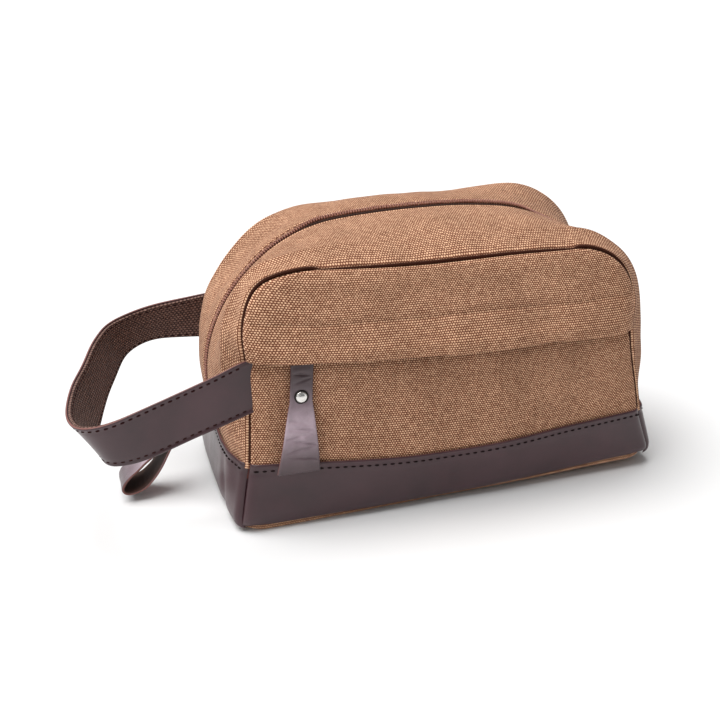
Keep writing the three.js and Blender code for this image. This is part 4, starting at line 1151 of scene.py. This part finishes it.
def pocket_pull():
    """A folded leather pull: it hangs flat, flares to its foot and is creased by handling. It also
    stands for the ring it hangs from, which isn't drawn."""
    down = np.array([-POCKET_LEAN, -math.sin(POCKET_TILT), -math.cos(POCKET_TILT)])
    out = np.array([0.0, -math.cos(POCKET_TILT), math.sin(POCKET_TILT)])
    bar = np.array([POCKET_X, POCKET_BAR_Y, POCKET_BAR_Z])
    s = np.unique(np.concatenate([np.linspace(-1.2, POCKET_PULL_LENGTH, 150),
                                  [POCKET_PULL_LENGTH - f for f in (0.2, 0.6, 1.2, 2.0)]]))
    t = edged(25, (0.2, 0.6, 1.2))
    run, across = np.meshgrid(s, t, indexing="ij")
    flare = np.clip((run - 20.0) / (POCKET_PULL_LENGTH - 20.0), 0, 1)
    half = lerp(POCKET_NECK, POCKET_FOOT, flare ** 0.9) / 2
    corner = np.clip((run - POCKET_PULL_LENGTH + 0.8) / 0.8, 0, 1)
    half = half - 0.7 * (1 - np.sqrt(1 - corner ** 2))
    d_edge = np.minimum((1 - np.abs(across)) * half, POCKET_PULL_LENGTH - run)
    round_off = POCKET_THICK / 2 * (1 - fold(d_edge + 0.1, 1.3))
    flat = np.stack([across * half, run, np.zeros_like(run)], axis=-1)
    wrinkle = soft_noise(flat * np.array([1.0, 2.2, 1.0]), 9.0, 61.0) * 0.45
    wrinkle += 0.7 * bell(across - 0.25, 0.3) * bell(run - 42, 18) - 0.5 * bell(run - POCKET_RIVET, 5.0)
    bow = 2.2 * bell(run - 44, 15.0)
    crease = sum(-1.7 * depth * bell(run - at - across * lean, 0.8) * bell(across - middle, 0.8)
                 for at, lean, middle, depth in PULL_CREASES)
    front = POCKET_THICK / 2 + bow + (wrinkle + crease) * np.clip(d_edge / 2, 0, 1) - round_off
    back = -POCKET_THICK / 2 + bow + round_off
    frame_at = lambda level: (bar + across[..., None] * half[..., None] * np.array([1.0, 0, 0])
                              + run[..., None] * down + level[..., None] * out)
    uv = np.stack([across * half, run], axis=-1)
    made = slab("pocket_pull_leather", frame_at(front), frame_at(back), uv, PULL_LEATHER,
                edge=RAW_EDGE)
    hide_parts("pocket_pull", "pocket_bail")
    follow_pocket(made)
    centre = bar + down * POCKET_RIVET + out * (POCKET_THICK / 2 - 0.2)
    ring = lathe("pocket_pull_rivet_ring", CAP_RING, centre, out, BLACK_RING)
    cap = lathe("pocket_pull_rivet_cap", CAP, centre, out, NICKEL)
    piece(ring, "pocket_pull", "nickel")
    piece(cap, "pocket_pull", "nickel", "pocket_pull_rivet")


def follow_pocket(made):
    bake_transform(made)


MAIN_BAR = np.array([-142.165, 0.0, 45.343])
MAIN_SLOPE = math.radians(42.0)
MAIN_NECK, MAIN_FOOT = 13.0, 23.0             # the pull's widths
MAIN_THICK = 1.4
MAIN_RIVET = 9.0                              # distance below the bar
# How far the loop's upper and lower sides stand from its middle, at distances along the pull.
LOOP_OVER = np.array([(-2.4, 0.0), (-2.0, 1.4), (0.0, 2.1), (3.0, 1.5), (6.0, 0.85), (9.0, 0.75),
                      (14.0, 0.8), (22.0, 1.4), (32.0, 2.2), (41.0, 3.0), (49.0, 3.4), (54.0, 2.6),
                      (56.6, 0.9), (57.0, -1.0)])
LOOP_UNDER = np.array([(-2.0, 1.4), (0.0, 2.1), (3.0, 1.5), (6.0, 0.85), (9.0, 0.75), (14.0, 1.1),
                       (22.0, 3.4), (32.0, 6.4), (41.0, 7.8), (48.0, 7.6), (53.5, 5.4), (56.2, 2.8)])


def main_pull():
    """A strip of leather folded into a teardrop loop, riveted below the bail."""
    along = np.array([-math.cos(MAIN_SLOPE), 0.0, -math.sin(MAIN_SLOPE)])
    out = np.array([-math.sin(MAIN_SLOPE), 0.0, math.cos(MAIN_SLOPE)])
    path = np.concatenate([LOOP_OVER, (LOOP_UNDER * np.array([1.0, -1.0]))[::-1]])
    path = np.concatenate([path, path[:1]])
    run = lengths_along(path)
    at = np.linspace(0, run[-1], 150)
    loop = smooth_curve(path, run, at)
    tangent = tangents(loop)
    normal = np.stack([-tangent[:, 1], tangent[:, 0]], axis=1)
    t = edged(21, (0.2, 0.5, 1.0))
    l, across = np.meshgrid(loop[:, 0], t, indexing="ij")
    half = lerp(MAIN_NECK, MAIN_FOOT, np.clip((l - 12) / 36, 0, 1) ** 0.8) / 2
    d_edge = (1 - np.abs(across)) * half
    round_off = MAIN_THICK / 2 * (1 - fold(d_edge + 0.15, 0.7))
    flat = np.stack([across * half, l, loop[:, 1:] + np.zeros_like(l)], axis=-1)
    wave = soft_noise(flat, 10.0, 71.0) * 0.4 * np.clip((l - 12) / 10, 0, 1)
    middle = MAIN_BAR + loop[:, None, :1] * along + loop[:, None, 1:] * out
    outward = normal[:, None, :1] * along + normal[:, None, 1:] * out
    sideways = (across * half)[..., None] * np.array([0.0, 1.0, 0])
    level = lambda value: middle + (value + wave)[..., None] * outward + sideways
    uv = np.stack([across * half, l], axis=-1)
    outer = level(MAIN_THICK / 2 - round_off)
    inner = level(-MAIN_THICK / 2 + round_off)
    made = slab("main_pull_leather", outer, inner, uv, PULL_LEATHER, edge=RAW_EDGE)
    piece(made, "main_pull", "leather", "main_pull")
    # The rough inside of the leather.
    face = level(-MAIN_THICK / 2 + 0.05 + 0 * l)
    nap = level(-MAIN_THICK / 2 - 0.12 + 0 * l)
    suede = slab("main_pull_suede", face, nap, uv, SUEDE)
    piece(suede, "main_pull", "leather")
    centre = MAIN_BAR + along * MAIN_RIVET + out * 1.3
    piece(lathe("main_pull_rivet_ring", CAP_RING, centre, out, BLACK_RING), "main_pull", "nickel")
    piece(lathe("main_pull_rivet_cap", CAP, centre, out, NICKEL), "main_pull", "nickel", "main_pull_rivet")


# ---------------------------------------------------------------- stitching on the band and yoke
BAND_STITCH = (3.3, 1.2, 1.15)                # length, gap and thickness
YOKE_STITCH = (2.6, 1.6, 0.7)


def panel_line(patch, run, out, count=260):
    u = np.linspace(-0.985, 0.985, count)
    v = np.full(count, run)
    return patch.at(u, v, out(u, v)), patch.normal(u, v)


def band_stitching():
    run = BAND_TOP - BAND_STITCH_DROP
    level = lambda u, v: BAND_OFF + HIDE - 0.3 + 0 * u
    for name, patch in (("front", FRONT), ("rear", BACK)):
        points, normals = panel_line(patch, run, level)
        row = stitches("band_stitching_" + name, points, normals, DARK_THREAD, *BAND_STITCH)
        piece(row, "bag", "leather")
    for name, end in (("left", -1), ("right", 1)):
        v = np.linspace(-0.96, 0.96, 120)
        points = GUSSET[end].at(run, v, level(v, v))
        normals = GUSSET[end].normal(run, v)
        row = stitches("band_stitching_" + name, points, normals, DARK_THREAD, *BAND_STITCH)
        piece(row, "bag", "leather")


def yoke_stitching():
    far = lambda u, v: (1 - np.abs(u)) * PANEL_HALF
    out = lambda u, v: yoke_level(u, v, far(u, v)) + YOKE_THICK / 2 - 0.1
    points, normals = panel_line(FRONT, run_at(FLAP_STITCH), out)
    piece(stitches("yoke_stitching", points, normals, TAN_THREAD, *YOKE_STITCH), "bag", "canvas")


# ---------------------------------------------------------------- build everything
pocket_panel()
front_yoke()
back_wall()
leather_panel("band_front", FRONT, "leather_band_front", False)
leather_panel("band_rear", BACK, "leather_band_back", True)
leather_end("band_left", "leather_band_left", -1)
leather_end("band_right", "leather_band_right", 1)
lining_wall("lining_front_cloth", FRONT, *LINING_ROWS, 3.6, False, "lining_front", "pocket_backing")
lining_wall("lining_rear_cloth", BACK, *LINING_ROWS, 2.4, True, "lining_back")
lining_wall("slip_pocket_cloth", BACK, 26.0, 96.0, 4.8, True, "slip_pocket")
lining_end("lining_left_cloth", -1, "lining_end_left")
lining_end("lining_right_cloth", 1, "lining_end_right")
floor_sheet("base_stiffener", *FLOOR_HALF, 4.2, 5.2, "board", "base_board")
floor_sheet("lining_floor_cloth", *FLOOR_HALF, 5.8, 6.3, "lining", "lining_base")
zips()
seam_allowance(-1)
seam_allowance(1)
seam_shade_cords()
base()
wrist_strap()
pocket_pull()
main_pull()
band_stitching()
yoke_stitching()

LOOKS = {"leather": PULL_LEATHER, "nickel": NICKEL, "zip_tape": TAPE_CLOTH, "zip_coil": COIL_PLASTIC,
         "lining": LINING_CLOTH, "canvas": CANVAS_CLOTH, "webbing": STRAP_WEB, "board": LINING_CLOTH}
for row in frame["record"]["subparts"]:
    node = frame["nodes"][row["node"]]
    node.data.materials.clear()
    node.data.materials.append(LOOKS[row["material_slot"]])

# ---------------------------------------------------------------- stage, light and camera
FLOOR_REACH = 40.0
corners = [(x * FLOOR_REACH, y * FLOOR_REACH, 0) for x, y in ((-1, -1), (1, -1), (1, 1), (-1, 1))]
floor_mesh = bpy.data.meshes.new("floor")
floor_mesh.from_pydata(corners, [], [(0, 1, 2, 3)])
floor = bpy.data.objects.new("floor", floor_mesh)
bpy.context.scene.collection.objects.link(floor)
paper = Graph("paper")
paper.set(base_color=(0.8, 0.8, 0.8, 1.0), roughness=0.95)
floor_mesh.materials.append(paper.material)

world = bpy.data.worlds.new("studio")
bpy.context.scene.world = world
world.use_nodes = True
world.node_tree.nodes["Background"].inputs["Color"].default_value = (1.0, 1.0, 1.0, 1.0)
world.node_tree.nodes["Background"].inputs["Strength"].default_value = 0.25


def lamp(kind, name, place, power, size):
    """A soft lamp aimed at the bag. A sun's size is its angle, a softbox's its width."""
    light = bpy.data.lights.new(name, kind)
    light.energy = power
    if kind == "SUN":
        light.angle = math.radians(size)
    else:
        light.size = size
    holder = bpy.data.objects.new(name, light)
    holder.location = place
    holder.rotation_euler = (Vector((0, 0, 0.08)) - Vector(place)).to_track_quat("-Z", "Y").to_euler()
    bpy.context.scene.collection.objects.link(holder)


lamp("SUN", "overhead", (-0.45, 0.1, 1.3), 4.0, 60.0)
lamp("AREA", "left_box", (-0.75, -0.65, 0.5), 1.2, 0.5)

camera_data = bpy.data.cameras.new("camera")
camera = bpy.data.objects.new("camera", camera_data)
bpy.context.scene.collection.objects.link(camera)
bpy.context.scene.camera = camera
camera_data.sensor_width = 36.0
camera_data.lens = 60.0
camera_data.shift_x = -0.08125
camera_data.shift_y = -0.0257
camera_data.clip_start = 0.01
camera_data.clip_end = 200.0
camera.location = (-0.2106, -0.6599, 0.3326)
aim = (Vector((0, 0, 0.075)) - camera.location).to_track_quat("-Z", "Y")
camera.rotation_mode = "QUATERNION"
camera.rotation_quaternion = aim @ Quaternion((0, 0, 1), math.radians(-0.4))
bpy.context.scene.view_settings.view_transform = "Standard"
